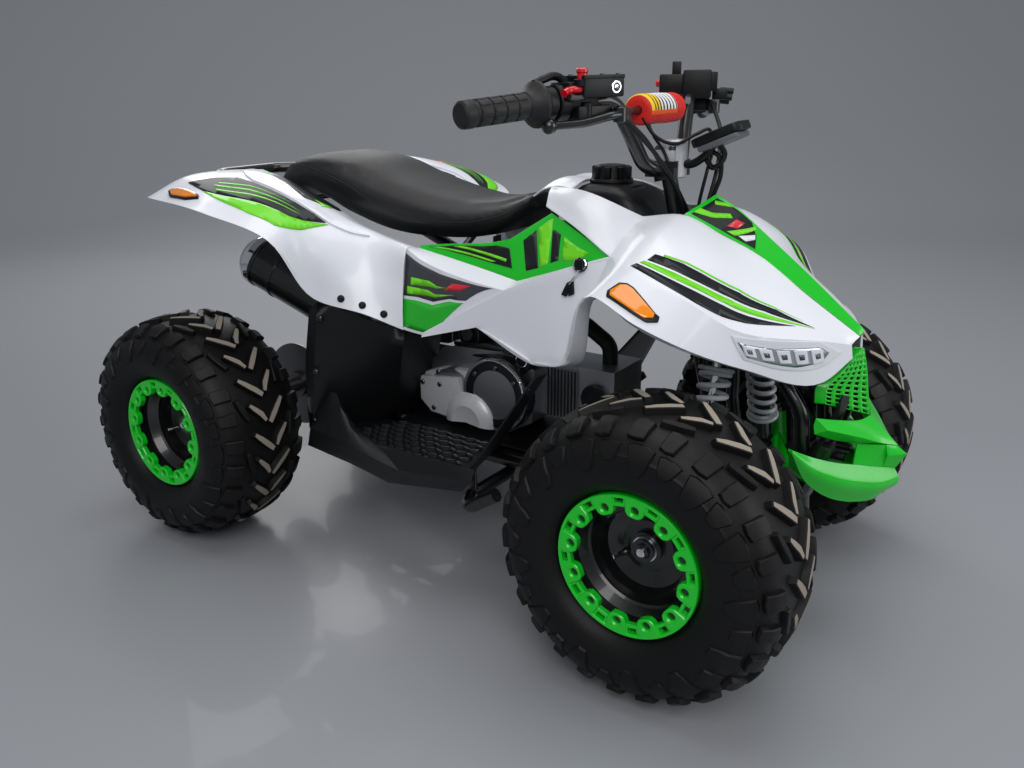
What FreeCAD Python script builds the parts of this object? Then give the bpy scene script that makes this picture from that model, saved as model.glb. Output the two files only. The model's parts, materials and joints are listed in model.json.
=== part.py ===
import FreeCAD, Part
import math
import os

# A children's quad bike with a horizontal single-cylinder engine, in millimetres.
# X points forward, Y to the rider's left and Z up from the ground.
# Places are measured from the middle of the wheelbase. At the end everything is
# shifted so that the origin lies under the middle of the overall length.

V = FreeCAD.Vector
Y_AXIS = V(0, 1, 0)
Z_AXIS = V(0, 0, 1)

# Overall layout
MIDDLE_X = -20.0
WHEELBASE = 890.0
FRONT_TRACK = 576.0
REAR_TRACK = 656.0

# Wheels
TYRE_RADIUS = 203.0
TYRE_WIDTH = 200.0
TREAD_THICKNESS = 14.0
SIDEWALL_THICKNESS = 9.0
CROWN_HALF = 58.0
BEAD_RADIUS = 89.0
RIM_HALF_WIDTH = 66.0
RIM_WALL = 3.0
FLANGE_RADIUS = 97.0
RING_RADIUS = 98.0
RING_INNER_RADIUS = 72.0
RING_THICKNESS = 11.0
SEAT_GAP = 0.3

# Hubs, spindles and axle
SPINDLE_RADIUS = 10.0
AXLE_RADIUS = 14.0
RUNNING_GAP = 0.05
HUB_WALL = 12.0
HUB_INNER_FACE = 18.0
HUB_OUTER_FACE = 20.0
KINGPIN_INSET = 63.0
KINGPIN_RADIUS = 6.0
KINGPIN_TUBE_RADIUS = 15.0
KINGPIN_TUBE_HALF = 30.0
CASTER = 6.0
STEERING_ARM_LENGTH = 48.0
STEERING_ARM_OUTSET = 13.0
STUD_RADIUS = 4.0
OPEN_PIVOT_GAP = 3.5

# Frame tubes
RAIL_RADIUS = 14.0
BRACE_RADIUS = 10.0
RAIL_BEND = 60.0
REAR_RAIL_Y = 85.0
FRONT_RAIL_Y = 55.0
LOW_RAIL_Z = 178.0

# Steering
STEM_RADIUS = 12.0
STEM_LOW = V(430, 0, 200)
STEM_HIGH = V(317, 0, 662)
BAR_RADIUS = 11.0
GRIP_RADIUS = 16.0

# Body panels
PANEL = 3.0

FRONT_X = WHEELBASE / 2
REAR_X = -WHEELBASE / 2
RIGHT = -1
LEFT = 1


# Basic shapes

def cylinder(radius, start, end):
    """A solid round bar from one point to another."""
    along = end - start
    return Part.makeCylinder(radius, along.Length, start, along)


def washer(outer, inner, start, end):
    """A round sleeve from one point to another."""
    along = end - start
    reach = along.normalize() * 1.0
    return cylinder(outer, start, end).cut(cylinder(inner, start - reach, end + reach))


def box(low, high):
    """A block between two opposite corners."""
    size = high - low
    return Part.makeBox(size.x, size.y, size.z, low)


def fuse(shapes):
    """Join shapes into one solid."""
    return shapes[0].multiFuse(shapes[1:]).removeSplitter()


def mirrored(shape):
    """The same shape on the other side of the vehicle."""
    return shape.mirror(V(0, 0, 0), Y_AXIS)


def both_sides(shape):
    """A shape and its mirror image."""
    return [shape, mirrored(shape)]


def tube(points, radius, bend):
    """A round bar along straight runs, with a tangent elbow at each inner point."""
    pieces = []
    start = points[0]
    for before, corner, after in zip(points, points[1:], points[2:]):
        back = (before - corner).normalize()
        ahead = (after - corner).normalize()
        turn = math.pi - back.getAngle(ahead)
        shortest = min((before - corner).Length, (after - corner).Length)
        cut = min(bend * math.tan(turn / 2), 0.45 * shortest)
        elbow_radius = cut / math.tan(turn / 2)
        first = corner + back * cut
        inward = (ahead + back).normalize() * (elbow_radius / math.cos(turn / 2))
        axis = back.cross(ahead).normalize() * -1
        disc = Part.Face(Part.Wire([Part.makeCircle(radius, first, back)]))
        pieces.append(cylinder(radius, start, first))
        pieces.append(disc.revolve(corner + inward, axis, math.degrees(turn)))
        start = corner + ahead * cut
    pieces.append(cylinder(radius, start, points[-1]))
    return fuse(pieces)


def polygon(points):
    """A flat face with straight edges."""
    return Part.Face(Part.makePolygon(points + [points[0]]))


def prism(points, push):
    """A flat outline pushed into a solid."""
    return polygon(points).extrude(push)


def turned(profile):
    """A profile of (outboard, radius) points, turned about the wheel axis."""
    points = [V(0, -outboard, radius) for outboard, radius in profile]
    return polygon(points).revolve(V(0, 0, 0), Y_AXIS, 360)


def sheet(rows, push):
    """A moulded panel: rows of points on its outer face, and its wall, one vector or one a row."""
    pushes = push if isinstance(push, list) else [push] * len(rows)
    inner = [[point + wall for point in row] for row, wall in zip(rows, pushes)]

    def patch(a, b, c, d):
        return Part.makeRuledSurface(Part.makeLine(a, b), Part.makeLine(c, d))

    faces = []
    for grid in (rows, inner):
        for row, following in zip(grid, grid[1:]):
            for a, b, c, d in zip(row, row[1:], following, following[1:]):
                faces.append(patch(a, b, c, d))
    outlines = [(rows[0], inner[0]), (rows[-1], inner[-1])]
    for column in (0, -1):
        outlines.append(([row[column] for row in rows], [row[column] for row in inner]))
    for outer_edge, inner_edge in outlines:
        for a, b, c, d in zip(outer_edge, outer_edge[1:], inner_edge, inner_edge[1:]):
            faces.append(patch(a, b, c, d))
    shell = Part.makeShell(faces)
    shell.sewShape()
    solid = Part.makeSolid(Part.makeShell(shell.Faces))
    return solid if solid.Volume > 0 else solid.reversed()


def oval(x, half_width, low, high):
    """A closed cross-section of a padded form at one place along X."""
    height = high - low
    half = [
        (0.45, high - 0.02 * height), (0.80, high - 0.12 * height), (0.98, high - 0.42 * height),
        (0.96, low + 0.14 * height), (0.80, low),
    ]
    right = [V(x, -share * half_width, z) for share, z in half]
    left = [V(x, share * half_width, z) for share, z in reversed(half)]
    curve = Part.BSplineCurve()
    curve.interpolate([V(x, 0, high)] + right + [V(x, 0, low)] + left, PeriodicFlag=True)
    return Part.Wire([curve.toShape()])


# Wheels, drawn about the origin with the outer side towards -Y

def tyre():
    """A balloon tyre with an air space inside."""
    half = TYRE_WIDTH / 2
    bead = RIM_HALF_WIDTH - SEAT_GAP
    widest = (BEAD_RADIUS + TYRE_RADIUS) / 2
    skin = SIDEWALL_THICKNESS
    foot_radius = BEAD_RADIUS + SEAT_GAP
    crown_in = TYRE_RADIUS - TREAD_THICKNESS

    def wall(start, elbow, inset, crown_radius):
        """One side of the casing from its bead to the edge of its crown, as (outboard, radius)."""
        bulge = half - inset
        crown = CROWN_HALF - inset / 3
        return [
            (start, elbow, (bulge, widest)),
            ((bulge, widest), (bulge * 0.97, crown_radius - 31), (bulge * 0.85, crown_radius - 15)),
            ((bulge * 0.85, crown_radius - 15), (bulge * 0.73, crown_radius - 4), (crown, crown_radius)),
        ]

    def at(side, place):
        return V(0, -side * place[0], place[1])

    edges = []
    lip = (bead + SEAT_GAP, FLANGE_RADIUS + 2 * SEAT_GAP)
    toe = (bead - skin, FLANGE_RADIUS)
    for side in (1, -1):
        outside = wall(lip, (half * 0.93, (lip[1] + widest) / 2 - 4), 0, TYRE_RADIUS)
        inside = wall(toe, (half - 1.8 * skin, (toe[1] + widest) / 2 - 4), skin, crown_in)
        for first, middle, last in outside + inside:
            edges.append(Part.Arc(at(side, first), at(side, middle), at(side, last)).toShape())
        neck = (bead, FLANGE_RADIUS)
        foot = (bead, foot_radius)
        heel = (bead - skin, foot_radius)
        for first, last in ((lip, neck), (neck, foot), (foot, heel), (heel, toe)):
            edges.append(Part.makeLine(at(side, first), at(side, last)))
    for radius, width in ((TYRE_RADIUS, CROWN_HALF), (crown_in, CROWN_HALF - skin / 3)):
        edges.append(Part.makeLine(at(1, (width, radius)), at(-1, (width, radius))))
    outline = Part.Wire(Part.__sortEdges__(edges))
    solid = Part.Face(outline).revolve(V(0, 0, 0), Y_AXIS, 360)
    return solid if solid.Volume > 0 else solid.reversed()


def rim(bore):
    """A pressed steel rim with a stepped dish and a hub."""
    edge = RIM_HALF_WIDTH
    wall = RIM_WALL
    bed = BEAD_RADIUS - 9
    barrel = turned([
        (-edge, FLANGE_RADIUS), (-edge - wall, FLANGE_RADIUS), (-edge - wall, BEAD_RADIUS - wall),
        (-edge + 18, BEAD_RADIUS - wall), (-edge + 30, bed - wall), (edge - 30, bed - wall),
        (edge - 18, BEAD_RADIUS - wall), (edge + wall, BEAD_RADIUS - wall), (edge + wall, FLANGE_RADIUS),
        (edge, FLANGE_RADIUS), (edge, BEAD_RADIUS), (edge - 17, BEAD_RADIUS), (edge - 29, bed),
        (-edge + 29, bed), (-edge + 17, BEAD_RADIUS), (-edge, BEAD_RADIUS),
    ])
    hub = bore + HUB_WALL
    dish = turned([
        (edge - 30, bed - wall), (edge - 33, bed - 2 * wall), (34, 60), (18, 56), (12, 36), (12, hub - 1),
        (6, hub - 1), (6, 38), (13, 60), (28, 64), (edge - 40, bed - wall),
    ])
    sleeve = washer(hub, bore, V(0, HUB_INNER_FACE, 0), V(0, -HUB_OUTER_FACE, 0))
    return fuse([barrel, dish, sleeve])


def bead_ring():
    """The bright ring that is bolted to the outside of the rim."""
    inner_face = RIM_HALF_WIDTH + RIM_WALL + SEAT_GAP
    return washer(RING_RADIUS, RING_INNER_RADIUS, V(0, -inner_face, 0), V(0, -inner_face - RING_THICKNESS, 0))


def placed(shape, side, x, half_track):
    """A wheel piece on its side of the vehicle."""
    piece = shape.copy() if side == RIGHT else mirrored(shape)
    piece.translate(V(x, side * half_track, TYRE_RADIUS))
    return piece


def wheels():
    """Four wheels, each a tyre, a rim and a ring."""
    rubber = tyre()
    ring = bead_ring()
    front_rim = rim(SPINDLE_RADIUS + RUNNING_GAP)
    rear_rim = rim(AXLE_RADIUS + RUNNING_GAP)
    pieces = {}
    for side, name in ((RIGHT, "right"), (LEFT, "left")):
        for end, x, half, metal in (
            ("front", FRONT_X, FRONT_TRACK / 2, front_rim),
            ("rear", REAR_X, REAR_TRACK / 2, rear_rim),
        ):
            pieces["tyre_%s_%s" % (end, name)] = placed(rubber, side, x, half)
            pieces["rim_%s_%s" % (end, name)] = placed(metal, side, x, half)
            pieces["bead_ring_%s_%s" % (end, name)] = placed(ring, side, x, half)
    return pieces


# Rear axle

CARRIER_HALF = 46.0
CARRIER_WALL = 9.0
SPROCKET_Y = 62.0
SPROCKET_RADIUS = 78.0
SPROCKET_THICKNESS = 6.0
DISC_Y = -74.0
DISC_RADIUS = 85.0
DISC_THICKNESS = 4.0
AXLE_NUT_RADIUS = 17.0


def rear_axle():
    """The solid axle with its sprocket, brake disc and end nuts."""
    half = REAR_TRACK / 2
    centre = V(REAR_X, 0, TYRE_RADIUS)
    reach = half + HUB_OUTER_FACE + 12
    bar = cylinder(AXLE_RADIUS, centre - Y_AXIS * reach, centre + Y_AXIS * reach)
    pieces = [bar]
    for side in (RIGHT, LEFT):
        face = centre + Y_AXIS * side * (half + HUB_OUTER_FACE + 1)
        pieces.append(cylinder(AXLE_NUT_RADIUS, face, face + Y_AXIS * side * 8))
    for place, radius, thick in (
        (SPROCKET_Y, SPROCKET_RADIUS, SPROCKET_THICKNESS),
        (DISC_Y, DISC_RADIUS, DISC_THICKNESS),
    ):
        start = centre + Y_AXIS * (place - thick / 2)
        pieces.append(cylinder(radius, start, start + Y_AXIS * thick))
        boss = centre + Y_AXIS * (place - 9)
        pieces.append(cylinder(AXLE_RADIUS + 12, boss, boss + Y_AXIS * 18))
    return fuse(pieces)


# Front knuckles and arms

def kingpin_frame(side):
    """The middle of a kingpin and its outboard direction."""
    middle = V(FRONT_X, side * (FRONT_TRACK / 2 - KINGPIN_INSET), TYRE_RADIUS)
    return middle, Y_AXIS * side


def leaned(shape):
    """A front-end piece leaned back by the caster about the wheel axis."""
    shape.rotate(V(FRONT_X, 0, TYRE_RADIUS), Y_AXIS, -CASTER)
    return shape


FORK_GAP = 0.5
FORK_PLATE = 8.0
FORK_WIDTH = 32.0
WEB_OFFSET = 19.0
WEB_THICKNESS = 9.0
ARM_THICKNESS = 10.0
BRAKE_PLATE_RADIUS = 56.0


def knuckle(side):
    """A C-shaped knuckle with its kingpin, spindle, steering arm and brake plate."""
    middle, out = kingpin_frame(side)
    height = KINGPIN_TUBE_HALF + FORK_GAP
    pieces = []
    for direction in (1, -1):
        low = min(direction * height, direction * (height + FORK_PLATE))
        start = middle + Z_AXIS * low
        ears = cylinder(KINGPIN_TUBE_RADIUS, start, start + Z_AXIS * FORK_PLATE)
        far = out * (WEB_OFFSET + WEB_THICKNESS)
        corner = start - V(FORK_WIDTH / 2, 0, 0)
        opposite = start + V(FORK_WIDTH / 2, 0, FORK_PLATE) + far
        low_y, high_y = sorted((corner.y, opposite.y))
        block = box(V(corner.x, low_y, corner.z), V(opposite.x, high_y, opposite.z))
        pieces += [ears, block]
    web_near = middle.y + side * WEB_OFFSET
    web_far = middle.y + side * (WEB_OFFSET + WEB_THICKNESS)
    half = height + FORK_PLATE
    pieces.append(box(
        V(FRONT_X - FORK_WIDTH / 2, min(web_near, web_far), TYRE_RADIUS - half),
        V(FRONT_X + FORK_WIDTH / 2, max(web_near, web_far), TYRE_RADIUS + half),
    ))
    pin_end = Z_AXIS * (half + 6)
    pieces.append(cylinder(KINGPIN_RADIUS, middle - pin_end, middle + pin_end))
    pieces.append(cylinder(KINGPIN_RADIUS + 4, middle + Z_AXIS * half, middle + pin_end))
    root = V(FRONT_X, web_near, TYRE_RADIUS)
    tip = V(FRONT_X, side * (FRONT_TRACK / 2 + HUB_OUTER_FACE + 14), TYRE_RADIUS)
    pieces.append(cylinder(SPINDLE_RADIUS, root, tip))
    nut = V(FRONT_X, side * (FRONT_TRACK / 2 + HUB_OUTER_FACE + 1), TYRE_RADIUS)
    pieces.append(cylinder(SPINDLE_RADIUS + 6, nut, nut + out * 9))
    plate = V(FRONT_X, web_far, TYRE_RADIUS)
    pieces.append(cylinder(BRAKE_PLATE_RADIUS, plate, plate + out * 5))
    arm_end = middle + V(-STEERING_ARM_LENGTH, side * STEERING_ARM_OUTSET, 0)
    low_y, high_y = sorted((arm_end.y - side * 8, web_far))
    arm_low = TYRE_RADIUS - ARM_THICKNESS / 2
    pieces.append(box(
        V(arm_end.x, low_y, arm_low),
        V(FRONT_X - FORK_WIDTH / 2 + 1, high_y, arm_low + ARM_THICKNESS),
    ))
    pieces.append(cylinder(9, arm_end - Z_AXIS * ARM_THICKNESS / 2, arm_end + Z_AXIS * ARM_THICKNESS / 2))
    pieces.append(cylinder(STUD_RADIUS, arm_end, arm_end + Z_AXIS * (ARM_THICKNESS / 2 + 16)))
    return leaned(fuse(pieces))


A_ARM_RADIUS = 11.0
A_ARM_PIVOT_Y = 90.0
A_ARM_SLEEVE_HALF = 18.0
ARM_PIN_RADIUS = 6.0
SHOCK_PIN_RADIUS = 4.0
SHOCK_EYE_HALF = 14.0
SHOCK_EAR_GAP = 4.0
EAR_THICKNESS = 4.0
A_ARM_PIVOT_Z = 168.0
A_ARM_SPREAD = 66.0
SHOCK_LOW = V(0, -150, 205)
SHOCK_HIGH = V(0, -78, 432)


def a_arm():
    """The right lower arm: two tubes to a kingpin tube, with a seat for the shock."""
    middle, out = kingpin_frame(RIGHT)
    sleeve = washer(
        KINGPIN_TUBE_RADIUS, KINGPIN_RADIUS + RUNNING_GAP,
        middle - Z_AXIS * KINGPIN_TUBE_HALF, middle + Z_AXIS * KINGPIN_TUBE_HALF,
    )
    joint = middle - out * (KINGPIN_TUBE_RADIUS - 3) - Z_AXIS * 14
    legs = []
    for direction in (1, -1):
        pivot = V(FRONT_X + direction * A_ARM_SPREAD, -A_ARM_PIVOT_Y, A_ARM_PIVOT_Z)
        legs.append(cylinder(A_ARM_RADIUS, pivot, joint))
        half = V(A_ARM_SLEEVE_HALF, 0, 0)
        legs.append(cylinder(A_ARM_RADIUS + 4, pivot - half, pivot + half))
    pin_clear = cylinder(KINGPIN_RADIUS + RUNNING_GAP, middle - Z_AXIS * 60, middle + Z_AXIS * 60)
    bores = [
        cylinder(
            ARM_PIN_RADIUS + RUNNING_GAP,
            V(FRONT_X + d * A_ARM_SPREAD - 20, -A_ARM_PIVOT_Y, A_ARM_PIVOT_Z),
            V(FRONT_X + d * A_ARM_SPREAD + 20, -A_ARM_PIVOT_Y, A_ARM_PIVOT_Z))
        for d in (1, -1)
    ]
    brace_y = SHOCK_LOW.y + 2
    share = (brace_y + A_ARM_PIVOT_Y) / (joint.y + A_ARM_PIVOT_Y)
    reach = A_ARM_SPREAD * (1 - share)
    brace_z = A_ARM_PIVOT_Z + share * (joint.z - A_ARM_PIVOT_Z)
    cross = cylinder(8, V(FRONT_X - reach, brace_y, brace_z), V(FRONT_X + reach, brace_y, brace_z))
    ears = []
    near = SHOCK_EYE_HALF + SHOCK_EAR_GAP
    for direction in (1, -1):
        low_x, high_x = sorted((FRONT_X + direction * near, FRONT_X + direction * (near + EAR_THICKNESS)))
        ears.append(box(V(low_x, SHOCK_LOW.y - 10, brace_z), V(high_x, SHOCK_LOW.y + 10, SHOCK_LOW.z + 9)))
    reach = V(near + EAR_THICKNESS, 0, 0)
    eye = SHOCK_LOW + V(FRONT_X, 0, 0)
    shock_pin = cylinder(SHOCK_PIN_RADIUS - RUNNING_GAP, eye - reach, eye + reach)
    arm = fuse([leaned(sleeve)] + legs + [cross, shock_pin] + ears)
    for cutter in [leaned(pin_clear)] + bores:
        arm = arm.cut(cutter)
    return arm


SHOCK_EYE = 11.0
SPRING_RADIUS = 24.0


def shock(low, high, coil_low, coil_high, radius, eye_half=SHOCK_EYE_HALF):
    """A coil-over shock between two eyes whose bolts lie along X."""
    along = (high - low).normalize()
    length = (high - low).Length
    pieces = []
    for eye in (low, high):
        pieces.append(washer(SHOCK_EYE, SHOCK_PIN_RADIUS, eye - V(eye_half, 0, 0), eye + V(eye_half, 0, 0)))
    body_end = low + along * (length * 0.55)
    pieces.append(cylinder(radius * 0.62, low + along * (SHOCK_EYE - 2), body_end))
    pieces.append(cylinder(6, body_end, high - along * (SHOCK_EYE - 2)))
    for share in (coil_low, coil_high):
        seat = low + along * (length * share)
        pieces.append(cylinder(radius + 1, seat, seat + along * 5))
    spring_start = low + along * (length * coil_low + 5)
    spring_end = low + along * (length * coil_high)
    pieces.append(washer(radius, radius - 6, spring_start, spring_end))
    return fuse(pieces)


def front_shocks():
    """Both front shocks."""
    offset = V(FRONT_X, 0, 0)
    return Part.makeCompound(both_sides(shock(SHOCK_LOW + offset, SHOCK_HIGH + offset, 0.22, 0.82, SPRING_RADIUS)))


# Steering

def stem_point(height):
    """The point on the steering axis at one height."""
    share = (height - STEM_LOW.z) / (STEM_HIGH.z - STEM_LOW.z)
    return STEM_LOW + (STEM_HIGH - STEM_LOW) * share


STEM_DIRECTION = (STEM_HIGH - STEM_LOW).normalize()
STEM_FORWARD = V(STEM_DIRECTION.z, 0, -STEM_DIRECTION.x)
PITMAN_THICKNESS = 6.0
CLAMP_HEIGHT = 26.0
CLAMP_HALF = 30.0
BAR_CENTRE = STEM_HIGH + V(0, 0, 4)


def pitman_stud(side):
    """Where a tie rod's inner end sits on the pitman plate."""
    return STEM_LOW - STEM_FORWARD * STEERING_ARM_LENGTH + Y_AXIS * side * STEERING_ARM_OUTSET


def steering_stem():
    """The steering shaft with its pitman plate, studs and handlebar clamp."""
    shaft = cylinder(STEM_RADIUS, STEM_LOW, STEM_HIGH - STEM_DIRECTION * 10)
    left = Y_AXIS * (STEERING_ARM_OUTSET + 8)
    toe = STEM_LOW - STEM_FORWARD * (STEERING_ARM_LENGTH + 9)
    heel = STEM_LOW + STEM_FORWARD * (STEM_RADIUS + 2)
    plate = prism([toe - left, toe + left, heel + left, heel - left], STEM_DIRECTION * PITMAN_THICKNESS)
    studs = []
    for side in (RIGHT, LEFT):
        start = pitman_stud(side)
        studs.append(cylinder(STUD_RADIUS, start, start + STEM_DIRECTION * (PITMAN_THICKNESS + 17)))
    block = cylinder(23, STEM_HIGH - STEM_DIRECTION * (CLAMP_HEIGHT / 2), STEM_HIGH + STEM_DIRECTION * CLAMP_HEIGHT / 2)
    low = STEM_HIGH + V(-24, -CLAMP_HALF, -8)
    block = block.fuse(box(low, low + V(46, 2 * CLAMP_HALF, 24)))
    reach = Y_AXIS * (CLAMP_HALF + 10)
    groove = cylinder(BAR_RADIUS + RUNNING_GAP, BAR_CENTRE - reach, BAR_CENTRE + reach)
    return fuse([shaft, plate] + studs + [block]).cut(groove)


BAR_END = V(203, -372, 756)
BAR_GRIP = V(243, -250, 766)
BAR_SHOULDER = V(290, -128, 768)
BAR_FOOT = V(308, -68, 676)
CROSSBAR_Z = 752.0


def handlebar():
    """A bent bar with a welded cross tube."""
    right = [BAR_END, BAR_GRIP, BAR_SHOULDER, BAR_FOOT, V(BAR_CENTRE.x, -46, BAR_CENTRE.z)]
    left = [V(point.x, -point.y, point.z) for point in reversed(right)]
    bar = tube(right + left, BAR_RADIUS, 45)
    slope = (BAR_FOOT - BAR_SHOULDER) * ((BAR_SHOULDER.z - CROSSBAR_Z) / (BAR_SHOULDER.z - BAR_FOOT.z))
    end = BAR_SHOULDER + slope
    cross = cylinder(6, end, V(end.x, -end.y, end.z))
    return bar.fuse(cross)


GRIP_FLANGE = 27.0


def grips():
    """Two rubber grips with flanges at their inner ends."""
    along = (BAR_END - BAR_GRIP).normalize()
    start = BAR_GRIP + along * 4
    end = BAR_END + along * 3
    sleeve = cylinder(GRIP_RADIUS, start, end)
    flange = cylinder(GRIP_FLANGE, start, start + along * 8)
    core = cylinder(BAR_RADIUS + SEAT_GAP, start - along * 2, BAR_END)
    return Part.makeCompound(both_sides(fuse([sleeve, flange]).cut(core)))


def bar_boxes():
    """The throttle and switch housings that clamp the bar inboard of the grips."""
    along = (BAR_SHOULDER - BAR_GRIP).normalize()
    start = BAR_GRIP + along * 2
    middle = start + along * 48
    core = cylinder(BAR_RADIUS + SEAT_GAP, BAR_GRIP - along * 5, BAR_SHOULDER)
    barrel = cylinder(21, start, start + along * 34)
    low = middle + V(-26, -22, -20)
    body = box(low, low + V(60, 62, 44))
    right = fuse([barrel, body]).cut(core)
    low = middle + V(-22, -18, -20)
    other = fuse([barrel, box(low, low + V(62, 50, 44))]).cut(core)
    return right, mirrored(other)


def brake_levers():
    """Two brake levers in front of the grips, each with its pivot block."""
    along = (BAR_END - BAR_GRIP).normalize()
    pivot = BAR_GRIP + V(52, 74, -28)
    tip = BAR_END + V(66, 92, -22)
    blade = tube([pivot, pivot + V(2, -50, 0), tip], 5, 60)
    ball = Part.makeSphere(9, tip)
    perch = cylinder(10, pivot - V(0, 0, 8), pivot + V(0, 0, 8))
    return Part.makeCompound(both_sides(fuse([blade, ball, perch])))


PAD_RADIUS = 24.0
PAD_HALF = 62.0


def bar_pad():
    """The padded sleeve round the cross tube."""
    slope = (BAR_FOOT - BAR_SHOULDER) * ((BAR_SHOULDER.z - CROSSBAR_Z) / (BAR_SHOULDER.z - BAR_FOOT.z))
    centre = V((BAR_SHOULDER + slope).x, 0, CROSSBAR_Z)
    return washer(PAD_RADIUS, 6 + SEAT_GAP, centre - Y_AXIS * PAD_HALF, centre + Y_AXIS * PAD_HALF)


def display():
    """The flat instrument plate ahead of the handlebar."""
    near = V(352, 0, 694)
    far = V(432, 0, 731)
    along = (far - near).normalize()
    up = V(-along.z, 0, along.x)
    half = Y_AXIS * 36
    plate = prism([near - half, near + half, far + half * 0.8, far - half * 0.8], up * 11)
    foot = STEM_HIGH + V(24.4, 0, 2)
    stay = tube([foot, foot + V(14, 0, 6), near + V(14, 0, 7)], 5, 12)
    return fuse([plate, stay])


def tie_rod(side):
    """A tie rod with an eye at each end; the outer eye stands clear of its stud."""
    inner_eye = pitman_stud(side) + STEM_DIRECTION * (PITMAN_THICKNESS + 8)
    middle, out = kingpin_frame(side)
    stud = middle + V(-STEERING_ARM_LENGTH, side * STEERING_ARM_OUTSET, ARM_THICKNESS / 2 + 9)
    marker = leaned(Part.Vertex(stud))
    outer_eye = marker.Point
    upright = leaned(Part.makeLine(V(0, 0, 0), Z_AXIS)).Edges[0]
    lean = (upright.Vertexes[1].Point - upright.Vertexes[0].Point).normalize()
    along = (outer_eye - inner_eye).normalize()
    rod = cylinder(5.5, inner_eye + along * 8, outer_eye - along * 10)
    eyes = [
        cylinder(10, inner_eye - STEM_DIRECTION * 6, inner_eye + STEM_DIRECTION * 6),
        cylinder(12, outer_eye - lean * 4.5, outer_eye + lean * 4.5),
    ]
    joined = fuse([rod] + eyes)
    inner_bore = cylinder(STUD_RADIUS + RUNNING_GAP, inner_eye - STEM_DIRECTION * 20, inner_eye + STEM_DIRECTION * 20)
    outer_bore = cylinder(STUD_RADIUS + OPEN_PIVOT_GAP, outer_eye - lean * 20, outer_eye + lean * 20)
    return joined.cut(inner_bore).cut(outer_bore)


# Frame

REAR_SHOCK_LOW = V(-318, 0, 282)
REAR_SHOCK_HIGH = V(-196, 0, 470)
REAR_EYE_HALF = 15.0
STEM_BEARING_LOW = 262.0
STEM_BEARING_HIGH = 556.0
BEARING_HALF = 16.0
PIVOT_X = -128.0
PIVOT_Z = 242.0


STAY_RADIUS = 7.0
REAR_CROSS_X = -480.0
NOSE_CROSS_Z = 270.0


def stay(root, reach, panel, away):
    """A round stay on each side, from a frame tube to the back of a panel."""
    moved = panel.copy()
    moved.translate(away * SEAT_GAP)
    lengths = cylinder(STAY_RADIUS, root, reach).cut(moved).Solids
    kept = min(lengths, key=lambda length: length.distToShape(Part.Vertex(root))[0])
    return both_sides(kept)


def panel_stays(panels):
    """The stays that carry the body panels, each cut to the panel that it meets."""
    down = V(0, 0, -1)
    inward = V(0, 1, 0)
    back = V(-1, 0, 0)
    stays = []
    for name, away, root, reach in (
        ("front_fairing", down, V(385, -42, 526), V(394, -114, 610)),
        ("rear_fairing", down, V(-400, -100, 567), V(-400, -160, 650)),
        ("rear_fairing", down, V(-150, -88, 474), V(-150, -212, 548)),
        ("side_panels", inward, V(10, -66, 494), V(10, -200, 500)),
        ("side_panels", inward, V(150, -56, 513), V(150, -200, 520)),
        ("tank_cover", down, V(150, -54, 513), V(150, -54, 620)),
        ("tank_cover", down, V(262, -45, 537), V(262, -45, 620)),
        ("footwells", back, V(-150, -88, 330), V(-92, -205, 330)),
        ("grille", back, V(590, -46, 292), V(613, -32, 366)),
        ("seat", down, V(-350, -84, 566), V(-350, -84, 640)),
        ("seat", down, V(40, -56, 497), V(40, -56, 600)),
        ("bumper", back, V(585, -20, NOSE_CROSS_Z), V(640, -20, NOSE_CROSS_Z)),
    ):
        stays += stay(root, reach, panels[name], away)
    return stays


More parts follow.
